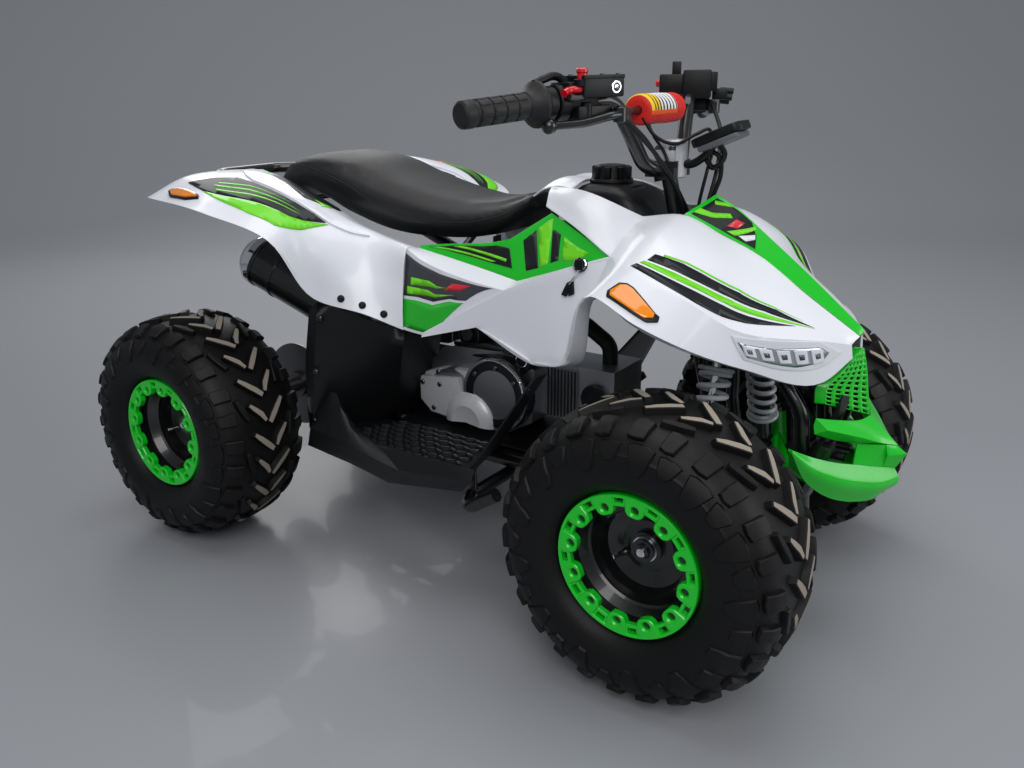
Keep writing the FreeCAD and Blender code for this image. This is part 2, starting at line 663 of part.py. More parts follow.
def frame(stays):
    """The welded tube frame with the stays for the body panels."""
    rail = [
        V(-150, -REAR_RAIL_Y, 470), V(-150, -REAR_RAIL_Y, LOW_RAIL_Z), V(130, -REAR_RAIL_Y, LOW_RAIL_Z),
        V(330, -FRONT_RAIL_Y, LOW_RAIL_Z - 8), V(548, -FRONT_RAIL_Y, LOW_RAIL_Z - 8), V(596, -FRONT_RAIL_Y, 300),
    ]
    top = [
        V(-500, -92, 575), V(-360, -92, 566), V(-150, -REAR_RAIL_Y, 484), V(90, -60, 500),
        V(300, -42, 545), V(420, -42, 520), V(560, -FRONT_RAIL_Y, 340), V(572, -FRONT_RAIL_Y, 180),
    ]
    upright = [V(444, -FRONT_RAIL_Y, 168), V(420, -FRONT_RAIL_Y, 300), V(420, -44, 512)]
    right = [tube(rail, RAIL_RADIUS, RAIL_BEND), tube(top, BRACE_RADIUS + 1, RAIL_BEND), tube(upright, BRACE_RADIUS, 40)]
    pieces = []
    for member in right:
        pieces += both_sides(member)
    for x, y, z, radius in (
        (-150, REAR_RAIL_Y, 470, BRACE_RADIUS), (-110, REAR_RAIL_Y, LOW_RAIL_Z, BRACE_RADIUS),
        (165, REAR_RAIL_Y - 5, LOW_RAIL_Z - 1, BRACE_RADIUS), (548, FRONT_RAIL_Y, LOW_RAIL_Z - 4, BRACE_RADIUS),
        (REAR_CROSS_X, 92, 574, BRACE_RADIUS), (330, 42, 539, BRACE_RADIUS),
        (585, FRONT_RAIL_Y, NOSE_CROSS_Z, BRACE_RADIUS),
    ):
        pieces.append(cylinder(radius, V(x, -y, z), V(x, y, z)))
    for height in (STEM_BEARING_LOW, STEM_BEARING_HIGH):
        centre = stem_point(height)
        half = STEM_DIRECTION * BEARING_HALF
        pieces.append(cylinder(STEM_RADIUS + 8, centre - half, centre + half))
    low_centre = stem_point(STEM_BEARING_LOW)
    pieces.append(box(low_centre + V(-9, -FRONT_RAIL_Y, -6), low_centre + V(9, FRONT_RAIL_Y, 6)))
    high_centre = stem_point(STEM_BEARING_HIGH)
    pieces.append(box(high_centre + V(-9, -44, -18), high_centre + V(9, 44, -6)))
    for direction in (1, -1):
        for side in (RIGHT, LEFT):
            x = FRONT_X + direction * A_ARM_SPREAD
            y = side * A_ARM_PIVOT_Y
            for face in (-1, 1):
                near = x + face * (A_ARM_SLEEVE_HALF + 0.5)
                low_x, high_x = sorted((near, near + face * EAR_THICKNESS))
                low_y, high_y = sorted((side * FRONT_RAIL_Y, y + side * 7))
                pieces.append(box(V(low_x, low_y, A_ARM_PIVOT_Z - 10), V(high_x, high_y, A_ARM_PIVOT_Z + 10)))
            pin = V(A_ARM_SLEEVE_HALF + 6, 0, 0)
            centre = V(x, y, A_ARM_PIVOT_Z)
            pieces.append(cylinder(ARM_PIN_RADIUS, centre - pin, centre + pin))
    for side in (RIGHT, LEFT):
        for face in (-1, 1):
            near = FRONT_X + face * (SHOCK_EYE_HALF + SHOCK_EAR_GAP)
            low_x, high_x = sorted((near, near + face * EAR_THICKNESS))
            low_y, high_y = sorted((side * 40, side * (-SHOCK_HIGH.y + 10)))
            pieces.append(box(V(low_x, low_y, SHOCK_HIGH.z - 12), V(high_x, high_y, SHOCK_HIGH.z + 12)))
        eye = V(FRONT_X, -side * SHOCK_HIGH.y, SHOCK_HIGH.z)
        reach = V(SHOCK_EYE_HALF + SHOCK_EAR_GAP + EAR_THICKNESS, 0, 0)
        pieces.append(cylinder(SHOCK_PIN_RADIUS - RUNNING_GAP, eye - reach, eye + reach))
    near = REAR_EYE_HALF + SHOCK_EAR_GAP
    for face in (-1, 1):
        low_y, high_y = sorted((face * near, face * (near + EAR_THICKNESS)))
        pieces.append(box(
            V(REAR_SHOCK_HIGH.x - 10, low_y, REAR_SHOCK_HIGH.z - 12), V(-150, high_y, REAR_SHOCK_HIGH.z + 12)))
    reach = Y_AXIS * (near + EAR_THICKNESS)
    pieces.append(cylinder(SHOCK_PIN_RADIUS - RUNNING_GAP, REAR_SHOCK_HIGH - reach, REAR_SHOCK_HIGH + reach))
    pivot = V(PIVOT_X, 0, PIVOT_Z)
    for side in (RIGHT, LEFT):
        plate_y = sorted((side * (REAR_RAIL_Y - 16), side * (REAR_RAIL_Y - 10)))
        pieces.append(box(V(-160, plate_y[0], PIVOT_Z - 34), V(PIVOT_X + 20, plate_y[1], PIVOT_Z + 34)))
    pieces.append(cylinder(7, pivot - Y_AXIS * (REAR_RAIL_Y - 9), pivot + Y_AXIS * (REAR_RAIL_Y - 9)))
    whole = fuse(pieces + stays)
    for height in (STEM_BEARING_LOW, STEM_BEARING_HIGH):
        centre = stem_point(height)
        reach = STEM_DIRECTION * (BEARING_HALF + 30)
        whole = whole.cut(cylinder(STEM_RADIUS + RUNNING_GAP, centre - reach, centre + reach))
    return whole


def swingarm():
    """The welded swingarm with the axle bearing carrier."""
    centre = V(REAR_X, 0, TYRE_RADIUS)
    pivot = V(PIVOT_X, 0, PIVOT_Z)
    half = Y_AXIS * 60
    sleeve = cylinder(15, pivot - half, pivot + half)
    carrier = cylinder(
        AXLE_RADIUS + CARRIER_WALL + RUNNING_GAP, centre - Y_AXIS * CARRIER_HALF, centre + Y_AXIS * CARRIER_HALF)
    pieces = [sleeve, carrier]
    for side in (RIGHT, LEFT):
        y = side * 34
        pieces.append(cylinder(13, V(PIVOT_X, y, PIVOT_Z), V(REAR_X, y, TYRE_RADIUS)))
    pieces.append(cylinder(10, V(-232, -34, 229), V(-232, 34, 229)))
    pieces.append(cylinder(10, V(-325, -34, 218), V(-325, 34, 218)))
    near = REAR_EYE_HALF + SHOCK_EAR_GAP
    for face in (-1, 1):
        low_y, high_y = sorted((face * near, face * (near + EAR_THICKNESS)))
        pieces.append(prism(
            [V(-345, low_y, 216), V(-300, low_y, 222), V(-306, low_y, 294), V(-330, low_y, 294)],
            V(0, high_y - low_y, 0)))
    reach = Y_AXIS * (near + EAR_THICKNESS)
    pieces.append(cylinder(SHOCK_PIN_RADIUS - RUNNING_GAP, REAR_SHOCK_LOW - reach, REAR_SHOCK_LOW + reach))
    whole = fuse(pieces)
    whole = whole.cut(cylinder(AXLE_RADIUS + RUNNING_GAP, centre - Y_AXIS * 80, centre + Y_AXIS * 80))
    return whole.cut(cylinder(7 + RUNNING_GAP, pivot - Y_AXIS * 80, pivot + Y_AXIS * 80))


def rear_shock():
    """The single rear shock, with its bolts along Y."""
    length = (REAR_SHOCK_HIGH - REAR_SHOCK_LOW).Length
    upright = shock(V(0, 0, 0), V(0, 0, length), 0.24, 0.84, SPRING_RADIUS + 2, REAR_EYE_HALF)
    upright.rotate(V(0, 0, 0), Z_AXIS, 90)
    lean = math.degrees(math.atan2(REAR_SHOCK_HIGH.x - REAR_SHOCK_LOW.x, REAR_SHOCK_HIGH.z - REAR_SHOCK_LOW.z))
    upright.rotate(V(0, 0, 0), Y_AXIS, lean)
    upright.translate(REAR_SHOCK_LOW)
    return upright


# Engine, chain and exhaust

ENGINE_WIDTH = 75.0
DRIVE_SPROCKET = V(-62, SPROCKET_Y, 262)
DRIVE_RADIUS = 30.0


def engine():
    """The crankcase with its round side covers, cylinder and head."""
    profile = [
        V(-104, -ENGINE_WIDTH, 232), V(-70, -ENGINE_WIDTH, 212), V(70, -ENGINE_WIDTH, 206),
        V(122, -ENGINE_WIDTH, 236), V(126, -ENGINE_WIDTH, 330), V(60, -ENGINE_WIDTH, 352),
        V(-60, -ENGINE_WIDTH, 346), V(-104, -ENGINE_WIDTH, 300),
    ]
    case = prism(profile, V(0, 2 * ENGINE_WIDTH - 30, 0))
    covers = [
        cylinder(64, V(62, -ENGINE_WIDTH - 26, 282), V(62, -ENGINE_WIDTH + 1, 282)),
        cylinder(48, V(-36, -ENGINE_WIDTH - 18, 262), V(-36, -ENGINE_WIDTH + 1, 262)),
        cylinder(58, V(62, ENGINE_WIDTH - 31, 282), V(62, ENGINE_WIDTH - 4, 282)),
        cylinder(22, V(17, -ENGINE_WIDTH - 30, 246), V(17, -ENGINE_WIDTH + 1, 246)),
    ]
    barrel = box(V(120, -46, 246), V(196, 46, 338))
    head = box(V(196, -50, 244), V(262, 50, 342))
    starter = cylinder(22, V(-20, -60, 368), V(-20, 44, 368))
    return fuse([case] + covers + [barrel, head, starter])


def carburettor():
    """The intake pipe, carburettor and air filter above the crankcase."""
    pipe = tube([V(228, 0, 342.3), V(228, 0, 372), V(180, 0, 402), V(140, 0, 404)], 13, 24)
    bowl = cylinder(24, V(112, 0, 362), V(112, 0, 428))
    filter_can = cylinder(34, V(26, 0, 404), V(90, 0, 404))
    return fuse([pipe, cylinder(19, V(80, 0, 404), V(148, 0, 404)), bowl, filter_can])


MUFFLER_RADIUS = 46.0
MUFFLER_FRONT = V(-196, -172, 408)
MUFFLER_TIP = V(-400, -206, 496)


def exhaust():
    """The header pipe and the muffler on the right."""
    along = (MUFFLER_TIP - MUFFLER_FRONT).normalize()
    can_start = MUFFLER_FRONT + along * 26
    can_end = MUFFLER_TIP - along * 14
    can = cylinder(MUFFLER_RADIUS, can_start, can_end)
    cone = Part.makeCone(18, MUFFLER_RADIUS, 26, MUFFLER_FRONT, along)
    tail = Part.makeCone(MUFFLER_RADIUS, 36, 14, can_end, along)
    header = tube([
        V(236, -14, 243.7), V(236, -14, 220), V(205, -116, 194), V(150, -116, 180), V(-120, -116, 180),
        V(-176, -116, 300), MUFFLER_FRONT - along * 40, MUFFLER_FRONT + along * 2,
    ], 13, 50)
    bore = cylinder(22, MUFFLER_TIP - along * 30, MUFFLER_TIP + along * 5)
    return fuse([can, cone, tail, header]).cut(bore)


def chain():
    """The drive chain, a closed loop round the two sprockets."""
    rear = V(REAR_X, 0, TYRE_RADIUS)
    front = V(DRIVE_SPROCKET.x, 0, DRIVE_SPROCKET.z)
    loops = []
    for extra in (1.0, 9.0):
        big = SPROCKET_RADIUS + extra
        small = DRIVE_RADIUS + extra
        along = (front - rear).normalize()
        distance = (front - rear).Length
        lean = math.asin((big - small) / distance)
        normal = V(-along.z, 0, along.x)
        points = []
        for direction in (1, -1):
            spoke = normal * direction * math.cos(lean) + along * math.sin(lean)
            points.append((rear + spoke * big, front + spoke * small))
        top, low = points
        edges = [
            Part.LineSegment(top[0], top[1]).toShape(),
            Part.Arc(top[1], front + along * small, low[1]).toShape(),
            Part.LineSegment(low[1], low[0]).toShape(),
            Part.Arc(low[0], rear - along * big, top[0]).toShape(),
        ]
        loops.append(Part.Face(Part.Wire(edges)))
    band = loops[1].cut(loops[0])
    band.translate(V(0, SPROCKET_Y - 5, 0))
    return band.extrude(V(0, 10, 0))


def drive_sprocket():
    """The small sprocket on the gearbox shaft."""
    centre = DRIVE_SPROCKET
    wheel = cylinder(DRIVE_RADIUS, centre - Y_AXIS * 3, centre + Y_AXIS * 3)
    shaft = cylinder(10, V(centre.x, ENGINE_WIDTH - 30 + SEAT_GAP, centre.z), centre + Y_AXIS * 9)
    return wheel.fuse(shaft)


# Seat, rack and body panels

SEAT_SECTIONS = (
    (-476, 62, 588, 604), (-452, 88, 584, 636), (-415, 106, 588, 660), (-355, 118, 594, 672),
    (-262, 124, 566, 664), (-165, 125, 542, 634), (-60, 120, 538, 610), (10, 108, 544, 604),
    (70, 88, 562, 614), (108, 60, 596, 630),
)


def seat():
    """The long padded saddle."""
    return Part.makeLoft([oval(*section) for section in SEAT_SECTIONS], True, False)


GRAB_RADIUS = 11.0


def grab_bar():
    """The tube loop behind the saddle."""
    right = [V(-440, -114.4, 572), V(-510, -114.4, 596), V(-600, -108, 622), V(-634, -74, 622)]
    left = [V(point.x, -point.y, point.z) for point in reversed(right)]
    return tube(right + left, GRAB_RADIUS, 40)


HOOD_EDGE = (V(150, -62, 636), V(228, -92, 635), V(318, -85, 603), V(372, -62, 606), V(473, -31, 553), V(618, -14, 449))
HOOD_OUTER = (V(172, -116, 612), V(240, -148, 590), V(316, -182, 560), V(405, -294, 545), V(502, -182, 474), V(612, -30, 440))


def front_fairing_side():
    """The right half of the front fairing: roof, fender lip, and the side tongue."""
    middle = []
    for inner, outer in zip(HOOD_EDGE, HOOD_OUTER):
        middle.append((inner + outer) * 0.5 + V(0, 0, 8))
    roof = sheet([list(HOOD_EDGE), middle, list(HOOD_OUTER)], V(0, 0, -PANEL))
    lip_top = [V(360, -262, 549), V(405, -294, 545), V(502, -182, 474), V(585, -84, 454), V(612, -30, 440)]
    lip_low = [V(352, -262, 514), V(410, -291, 498), V(512, -172, 425), V(590, -74, 394), V(614, -26, 420)]
    lip = sheet([lip_top, lip_low], V(-PANEL, 0, 0))
    top = [V(-8, -205, 405), V(149, -200, 494), V(240, -192, 533), V(316, -183, 559), V(404, -292, 544)]
    low = [V(-6, -207, 399), V(100, -203, 430), V(203, -205, 388), V(275, -239, 408), V(342, -282, 524)]
    tongue = sheet([top, low], V(0, PANEL, 0))
    return fuse([roof, lip, tongue])


def front_fairing(lamps):
    """The white moulding from the saddle to the nose, as a left and a right shell."""
    side = front_fairing_side()
    for lamp in lamps:
        side = side.cut(lamp)
    return Part.makeCompound(both_sides(side))


def nose_panel():
    """The raised strip between the two halves of the hood."""
    right = [point + V(0, SEAT_GAP, 0) for point in HOOD_EDGE[-3:]]
    ridge = [V(395, 0, 631), V(460, 0, 588), V(621, 0, 455)]
    left = [V(point.x, -point.y, point.z) for point in right]
    return sheet([right, ridge, left], V(0, 0, -PANEL))


REAR_GRID = (
    (V(-470, -105, 640), V(-384, -127, 628), V(-235, -128, 575), V(-180, -130, 552), V(-128, -130, 540), V(-55, -150, 532)),
    (V(-480, -190, 645), V(-384, -197, 643), V(-225, -200, 598), V(-185, -185, 575), V(-132, -165, 552), V(-52, -178, 539)),
    (V(-490, -270, 640), V(-370, -290, 628), V(-215, -285, 588), V(-175, -265, 545), V(-118, -215, 495), V(-50, -198, 470)),
    (V(-502, -345, 610), V(-310, -372, 597), V(-200, -345, 560), V(-178, -275, 455), V(-100, -236, 430), V(-46, -206, 405)),
)


def rear_fairing():
    """The white rear fenders, a shell on each side."""
    return Part.makeCompound(both_sides(sheet([list(row) for row in REAR_GRID], V(0, 0, -PANEL))))


def side_panels():
    """The panels between the saddle and the tongue."""
    top = [V(-48, -140, 530), V(40, -136, 545), V(127, -132, 566), V(178, -120, 598)]
    middle = [V(-46, -168, 505), V(60, -165, 510), V(150, -168, 520), V(300, -176, 556)]
    low = [V(-44, -196, 402), V(0, -197, 405), V(135, -194, 482), V(232, -186, 528)]
    return Part.makeCompound(both_sides(sheet([top, middle, low], V(0, PANEL, 0))))


def tank_cover():
    """The black cover round the fuel filler, between the saddle and the steering."""
    low = [V(118, -62, 600), V(282, -80, 600), V(282, 80, 600), V(118, 62, 600)]
    high = [V(150, -50, 638), V(262, -58, 638), V(262, 58, 638), V(150, 50, 638)]
    return Part.makeLoft([Part.makePolygon(low + [low[0]]), Part.makePolygon(high + [high[0]])], True, True)


def fuel_cap():
    """The round filler cap."""
    base = V(222, 0, 638 + SEAT_GAP)
    return fuse([cylinder(34, base, base + V(0, 0, 16)), cylinder(24, base, base + V(0, 0, 30))])


LIP_START = V(405, -294, 0)
LIP_END = V(600, -60, 0)
LIP_ALONG = (LIP_END - LIP_START).normalize()
LIP_OUT = V(-LIP_ALONG.y, LIP_ALONG.x, 0) * -1
LAMP_DEPTH = 10.0


def on_lip(distance, height, proud):
    """A point on the upright face of the right fender lip."""
    return LIP_START + LIP_ALONG * distance + LIP_OUT * proud + Z_AXIS * height


def headlamps():
    """The clear lamps let into the fender lips."""
    outline = ((150, 466), (276, 449), (306, 436), (262, 415), (160, 438))
    face = [on_lip(distance, height, 2) for distance, height in outline]
    return Part.makeCompound(both_sides(prism(face, LIP_OUT * LAMP_DEPTH)))


def indicators():
    """The amber side lamps on the four fenders."""
    outline = ((2, 540), (18, 537), (72, 508), (62, 492), (8, 512))
    face = [on_lip(distance, height, 1.5) for distance, height in outline]
    front = prism(face, LIP_OUT * LAMP_DEPTH)
    rear = prism([V(-470, -352, 622), V(-420, -352, 634), V(-395, -352, 626), V(-420, -352, 614)], V(0, 20, 0))
    return Part.makeCompound(both_sides(front)), Part.makeCompound(both_sides(rear))


def grille():
    """The wedge-shaped grille under the nose."""
    right = [V(606, -52, 372), V(606, -52, 350)]
    apex = [V(622, 0, 430), V(640, 0, 334)]
    left = [V(606, 52, 372), V(606, 52, 350)]
    return sheet([right, apex, left], V(-4, 0, 0))


def blade(root, tip):
    """One swept blade of the bumper, from the keel's side to its free end."""
    return Part.makeLoft([Part.makePolygon(root + [root[0]]), Part.makePolygon(tip + [tip[0]])], True, True)


def bumper():
    """The moulded front bumper with two swept blades on each side."""
    keel = prism([
        V(642, -34, 328), V(680, -34, 294), V(688, -34, 246), V(640, -34, 200), V(612, -34, 214), V(618, -34, 322),
    ], V(0, 68, 0))
    upper = blade(
        [V(642, -33, 326), V(678, -33, 293), V(650, -33, 268), V(622, -33, 300)],
        [V(596, -104, 348), V(606, -104, 336), V(594, -104, 328), V(586, -104, 338)])
    lower = blade(
        [V(636, -33, 262), V(684, -33, 252), V(650, -33, 212), V(620, -33, 218)],
        [V(560, -116, 312), V(574, -116, 304), V(566, -116, 286), V(552, -116, 300)])
    return fuse([keel] + both_sides(upper) + both_sides(lower))


def footwell():
    """The right footwell: rear wall, tray, front wall and raised outer edge."""
    inner = [V(-52, -198, 398), V(-128, -137, 212), V(84, -118, 204), V(205, -170, 366)]
    outer = [V(-186, -262, 444), V(-190, -288, 226), V(126, -288, 206), V(226, -238, 380)]
    middle = [(a + b) * 0.5 for a, b in zip(inner, outer)]
    walls = [V(-PANEL, 0, 0), V(-PANEL, 0, -PANEL), V(PANEL, 0, -PANEL), V(PANEL, 0, 0)]
    rows = [list(row) for row in zip(inner, middle, outer)]
    tray = sheet(rows, walls)
    edge_low = [V(-190, -290, 226), V(-100, -290, 222), V(60, -290, 210), V(150, -288, 210)]
    edge_high = [V(-192, -292, 240), V(-97, -320, 318), V(62, -302, 240), V(152, -290, 232)]
    wing = sheet([edge_low, edge_high], V(0, PANEL, 0))
    return fuse([tray, wing])


FOOT_BAR_RADIUS = 11.0


def foot_bar(well):
    """The bent tube under both footwells that carries the rider's feet, with a post to each."""
    level = LOW_RAIL_Z - RAIL_RADIUS - SEAT_GAP - FOOT_BAR_RADIUS
    right = [V(176, -262, 190), V(120, -262, level), V(98, -222, level)]
    left = [V(point.x, -point.y, point.z) for point in reversed(right)]
    posts = stay(V(98, -215, level), V(98, -215, 230), well, V(0, 0, -1))
    return fuse([tube(right + left, FOOT_BAR_RADIUS, 30)] + posts)


def tail_lamp():
    """The red lamp between the rear fenders."""
    front = REAR_CROSS_X - BRACE_RADIUS - SEAT_GAP
    return box(V(front - 22, -46, 560), V(front, 46, 590))


def save(name, shape):
    """Write one piece, moved to the final origin."""
    piece = shape.copy()
    piece.translate(V(MIDDLE_X, 0, 0))
    piece.exportStep("parts/%s.step" % name)


def main():
    os.makedirs("parts", exist_ok=True)
    pieces = wheels()
    pieces["rear_axle"] = rear_axle()
    for side, name in ((RIGHT, "right"), (LEFT, "left")):
        pieces["knuckle_" + name] = knuckle(side)
        pieces["tie_rod_" + name] = tie_rod(side)
    arm = a_arm()
    pieces["a_arm_right"] = arm
    pieces["a_arm_left"] = mirrored(arm)
    pieces["front_shocks"] = front_shocks()
    pieces["steering_stem"] = steering_stem()
    pieces["handlebar"] = handlebar()
    pieces["grips"] = grips()
    pieces["throttle_housing"], pieces["switch_housing"] = bar_boxes()
    pieces["brake_levers"] = brake_levers()
    pieces["bar_pad"] = bar_pad()
    pieces["display"] = display()
    pieces["swingarm"] = swingarm()
    pieces["rear_shock"] = rear_shock()
    pieces["engine"] = engine()
    pieces["carburettor"] = carburettor()
    pieces["exhaust"] = exhaust()
    pieces["chain"] = chain()
    pieces["drive_sprocket"] = drive_sprocket()
    pieces["seat"] = seat()
    pieces["grab_bar"] = grab_bar()
    lamps, front_lights, rear_lights = headlamps(), *indicators()
    pieces["front_fairing"] = front_fairing([lamps, front_lights])
    pieces["nose_panel"] = nose_panel()
    pieces["rear_fairing"] = rear_fairing()
    pieces["side_panels"] = side_panels()
    pieces["tank_cover"] = tank_cover()
    pieces["fuel_cap"] = fuel_cap()
    pieces["headlamps"] = lamps
    pieces["front_indicators"] = front_lights
    pieces["rear_indicators"] = rear_lights
    pieces["grille"] = grille()
    pieces["bumper"] = bumper()
    well = footwell()
    pieces["footwell_right"] = well
    pieces["footwell_left"] = mirrored(well)
    pieces["foot_bar"] = foot_bar(well)
    pieces["tail_lamp"] = tail_lamp()
    pieces["frame"] = frame(panel_stays(dict(pieces, footwells=well)))
    for name, shape in pieces.items():
        save(name, shape)


main()
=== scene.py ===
import json
import math

import bmesh
import bpy
from mathutils import Matrix, Vector
from mathutils.bvhtree import BVHTree


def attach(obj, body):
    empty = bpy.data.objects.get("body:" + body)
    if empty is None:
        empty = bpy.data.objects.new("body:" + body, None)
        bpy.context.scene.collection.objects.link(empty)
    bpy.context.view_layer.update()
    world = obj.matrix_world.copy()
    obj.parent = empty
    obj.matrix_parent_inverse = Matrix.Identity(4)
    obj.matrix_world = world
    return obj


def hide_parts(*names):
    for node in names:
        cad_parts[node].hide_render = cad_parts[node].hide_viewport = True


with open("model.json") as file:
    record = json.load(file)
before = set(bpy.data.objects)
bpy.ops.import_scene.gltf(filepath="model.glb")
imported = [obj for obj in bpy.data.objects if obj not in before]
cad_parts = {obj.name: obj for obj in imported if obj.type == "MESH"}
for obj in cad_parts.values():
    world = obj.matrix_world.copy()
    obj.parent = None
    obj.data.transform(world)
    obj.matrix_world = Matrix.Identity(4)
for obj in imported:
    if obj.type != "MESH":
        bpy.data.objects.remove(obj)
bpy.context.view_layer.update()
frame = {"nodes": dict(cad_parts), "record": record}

# Sizes here are millimetres measured from the middle of the wheelbase, as in the part's source.
MIDDLE_X = -20.0
MM = 0.001
UP = Vector((0, 0, 1))
RIGHT = Vector((0, -1, 0))
CENTRE = Vector((0, 0, 0))
# A radius small enough for a turned shape to look closed on its axis
TIP = 0.01


def mm(x, y, z):
    """A point given in millimetres from the middle of the wheelbase, in the frame's metres."""
    return Vector(((x + MIDDLE_X) / 1000, y / 1000, z / 1000))


def move(x, y, z):
    """A move given in millimetres."""
    return Vector((x, y, z)) * MM


# Materials

def material(
    name, colour, roughness, metallic=0.0, coat=0.0, grain=0.0, grain_scale=200.0, mottling=0.0, shine=0.5):
    """A painted or moulded surface with fine grain in its bump and slight variation in its roughness."""
    made = bpy.data.materials.new(name)
    made.use_nodes = True
    nodes, links = made.node_tree.nodes, made.node_tree.links
    shader = nodes["Principled BSDF"]
    shader.inputs["Base Color"].default_value = (*colour, 1)
    shader.inputs["Metallic"].default_value = metallic
    shader.inputs["Roughness"].default_value = roughness
    shader.inputs["Coat Weight"].default_value = coat
    shader.inputs["Specular IOR Level"].default_value = shine
    place = nodes.new("ShaderNodeTexCoord")
    noise = nodes.new("ShaderNodeTexNoise")
    noise.inputs["Scale"].default_value = grain_scale
    noise.inputs["Detail"].default_value = 6
    links.new(place.outputs["Object"], noise.inputs["Vector"])
    if grain:
        bump = nodes.new("ShaderNodeBump")
        bump.inputs["Strength"].default_value = grain
        bump.inputs["Distance"].default_value = 0.0004
        links.new(noise.outputs["Fac"], bump.inputs["Height"])
        links.new(bump.outputs["Normal"], shader.inputs["Normal"])
    if mottling:
        broad = nodes.new("ShaderNodeTexNoise")
        broad.inputs["Scale"].default_value = 14
        broad.inputs["Detail"].default_value = 4
        links.new(place.outputs["Object"], broad.inputs["Vector"])
        spread = nodes.new("ShaderNodeMapRange")
        spread.inputs["To Min"].default_value = max(roughness - mottling, 0.02)
        spread.inputs["To Max"].default_value = min(roughness + mottling, 1.0)
        links.new(broad.outputs["Fac"], spread.inputs["Value"])
        links.new(spread.outputs["Result"], shader.inputs["Roughness"])
    return made


def linear(red, green, blue):
    """A display colour from 0 to 255, in linear light."""
    def one(value):
        share = value / 255
        return share / 12.92 if share <= 0.04045 else ((share + 0.055) / 1.055) ** 2.4
    return one(red), one(green), one(blue)


WHITE = material(
    "white_moulding", linear(236, 238, 246), 0.3, coat=0.35, grain=0.05, grain_scale=900, mottling=0.04)
GREEN = material(
    "green_moulding", linear(14, 196, 34), 0.28, coat=0.4, grain=0.06, grain_scale=700, mottling=0.05)
RING_GREEN = material(
    "ring_green", linear(10, 214, 40), 0.3, coat=0.5, grain=0.08, grain_scale=500, mottling=0.05)
BLACK = material(
    "black_moulding", linear(15, 16, 18), 0.4, grain=0.35, grain_scale=1500, mottling=0.08, shine=0.3)
STEEL_BLACK = material(
    "black_paint", linear(16, 16, 18), 0.3, coat=0.5, grain=0.05, grain_scale=400, mottling=0.06)
STEEL_GREEN = material(
    "green_paint", linear(12, 176, 30), 0.3, coat=0.5, grain=0.05, grain_scale=400, mottling=0.06)
RUBBER = material(
    "tyre_rubber", linear(11, 11, 12), 0.5, grain=0.5, grain_scale=700, mottling=0.12, shine=0.28)
RUBBER_GRIP = material("grip_rubber", linear(20, 20, 22), 0.55, grain=0.3, grain_scale=1200, mottling=0.05)
SATIN = material(
    "satin_casting", linear(196, 198, 202), 0.3, metallic=0.15, coat=0.3, grain=0.5, grain_scale=900,
    mottling=0.08)
CAST = material(
    "cast_metal", linear(176, 178, 182), 0.38, metallic=1.0, grain=0.5, grain_scale=900, mottling=0.1)
CHROME = material("chrome", linear(225, 227, 230), 0.08, metallic=1.0, mottling=0.03)
STEEL = material(
    "bare_steel", linear(112, 112, 114), 0.34, metallic=1.0, grain=0.3, grain_scale=500, mottling=0.1)
SPRING = material("spring_paint", linear(186, 190, 194), 0.35, coat=0.3, grain=0.1, mottling=0.06)
VINYL = material("saddle_vinyl", linear(22, 22, 24), 0.52, grain=0.45, grain_scale=700, mottling=0.07)
AMBER = material("amber_lens", linear(255, 146, 10), 0.12, coat=0.8, mottling=0.03)
RED = material("red_plastic", linear(214, 20, 34), 0.25, coat=0.5, mottling=0.05)
CLEAR = material("clear_lens", linear(225, 230, 238), 0.08, coat=1.0, mottling=0.03)

SLOT_MATERIALS = {
    "tyre": RUBBER, "rim": STEEL_BLACK, "ring_green": RING_GREEN, "white_plastic": WHITE,
    "green_plastic": GREEN, "black_plastic": BLACK, "black_steel": STEEL_BLACK, "green_steel": STEEL_GREEN,
    "engine_metal": CAST, "chrome": CHROME, "seat_vinyl": VINYL, "grip_rubber": RUBBER_GRIP, "pad_red": RED,
    "spring": SPRING, "lamp_clear": CLEAR, "lamp_amber": AMBER, "lamp_red": RED, "steel": STEEL,
}
for subpart in frame["record"]["subparts"]:
    node = frame["nodes"][subpart["node"]]
    node.data.materials.clear()
    node.data.materials.append(SLOT_MATERIALS[subpart["material_slot"]])


# Shape helpers

def curve_through(points, steps, corners=()):
    """Points along a smooth line through the given ones, with a sharp turn at each corner."""
    last = len(points) - 1
    gaps = [max((b - a).length, 1e-9) for a, b in zip(points, points[1:])]

    def slope(index, segment):
        own = (points[segment + 1] - points[segment]) / gaps[segment]
        if index in (0, last) or index in corners:
            return own
        before = (points[index] - points[index - 1]) / gaps[index - 1]
        after = (points[index + 1] - points[index]) / gaps[index]
        return (before * gaps[index] + after * gaps[index - 1]) / (gaps[index] + gaps[index - 1])

    line = []
    for segment in range(last):
        start, end = points[segment], points[segment + 1]
        leave = slope(segment, segment) * gaps[segment]
        arrive = slope(segment + 1, segment) * gaps[segment]
        for step in range(steps):
            t = step / steps
            line.append(
                (2 * t**3 - 3 * t**2 + 1) * start + (t**3 - 2 * t**2 + t) * leave
                + (3 * t**2 - 2 * t**3) * end + (t**3 - t**2) * arrive)
    line.append(points[-1].copy())
    return line


def surface_through(rows, along, across, corner_columns=(), corner_rows=()):
    """A grid of points on a smooth surface through rows of points."""
    drawn = [curve_through(row, along, corner_columns) for row in rows]
    columns = [curve_through([row[i] for row in drawn], across, corner_rows) for i in range(len(drawn[0]))]
    return [[column[j] for column in columns] for j in range(len(columns[0]))]


def flipped(point):
    """The same place on the other side of the vehicle."""
    return Vector((point.x, -point.y, point.z))


def spoke(side, other, step, steps):
    """The direction at one of so many steps round the circle of two directions."""
    angle = 2 * math.pi * step / steps
    return math.cos(angle) * side + math.sin(angle) * other


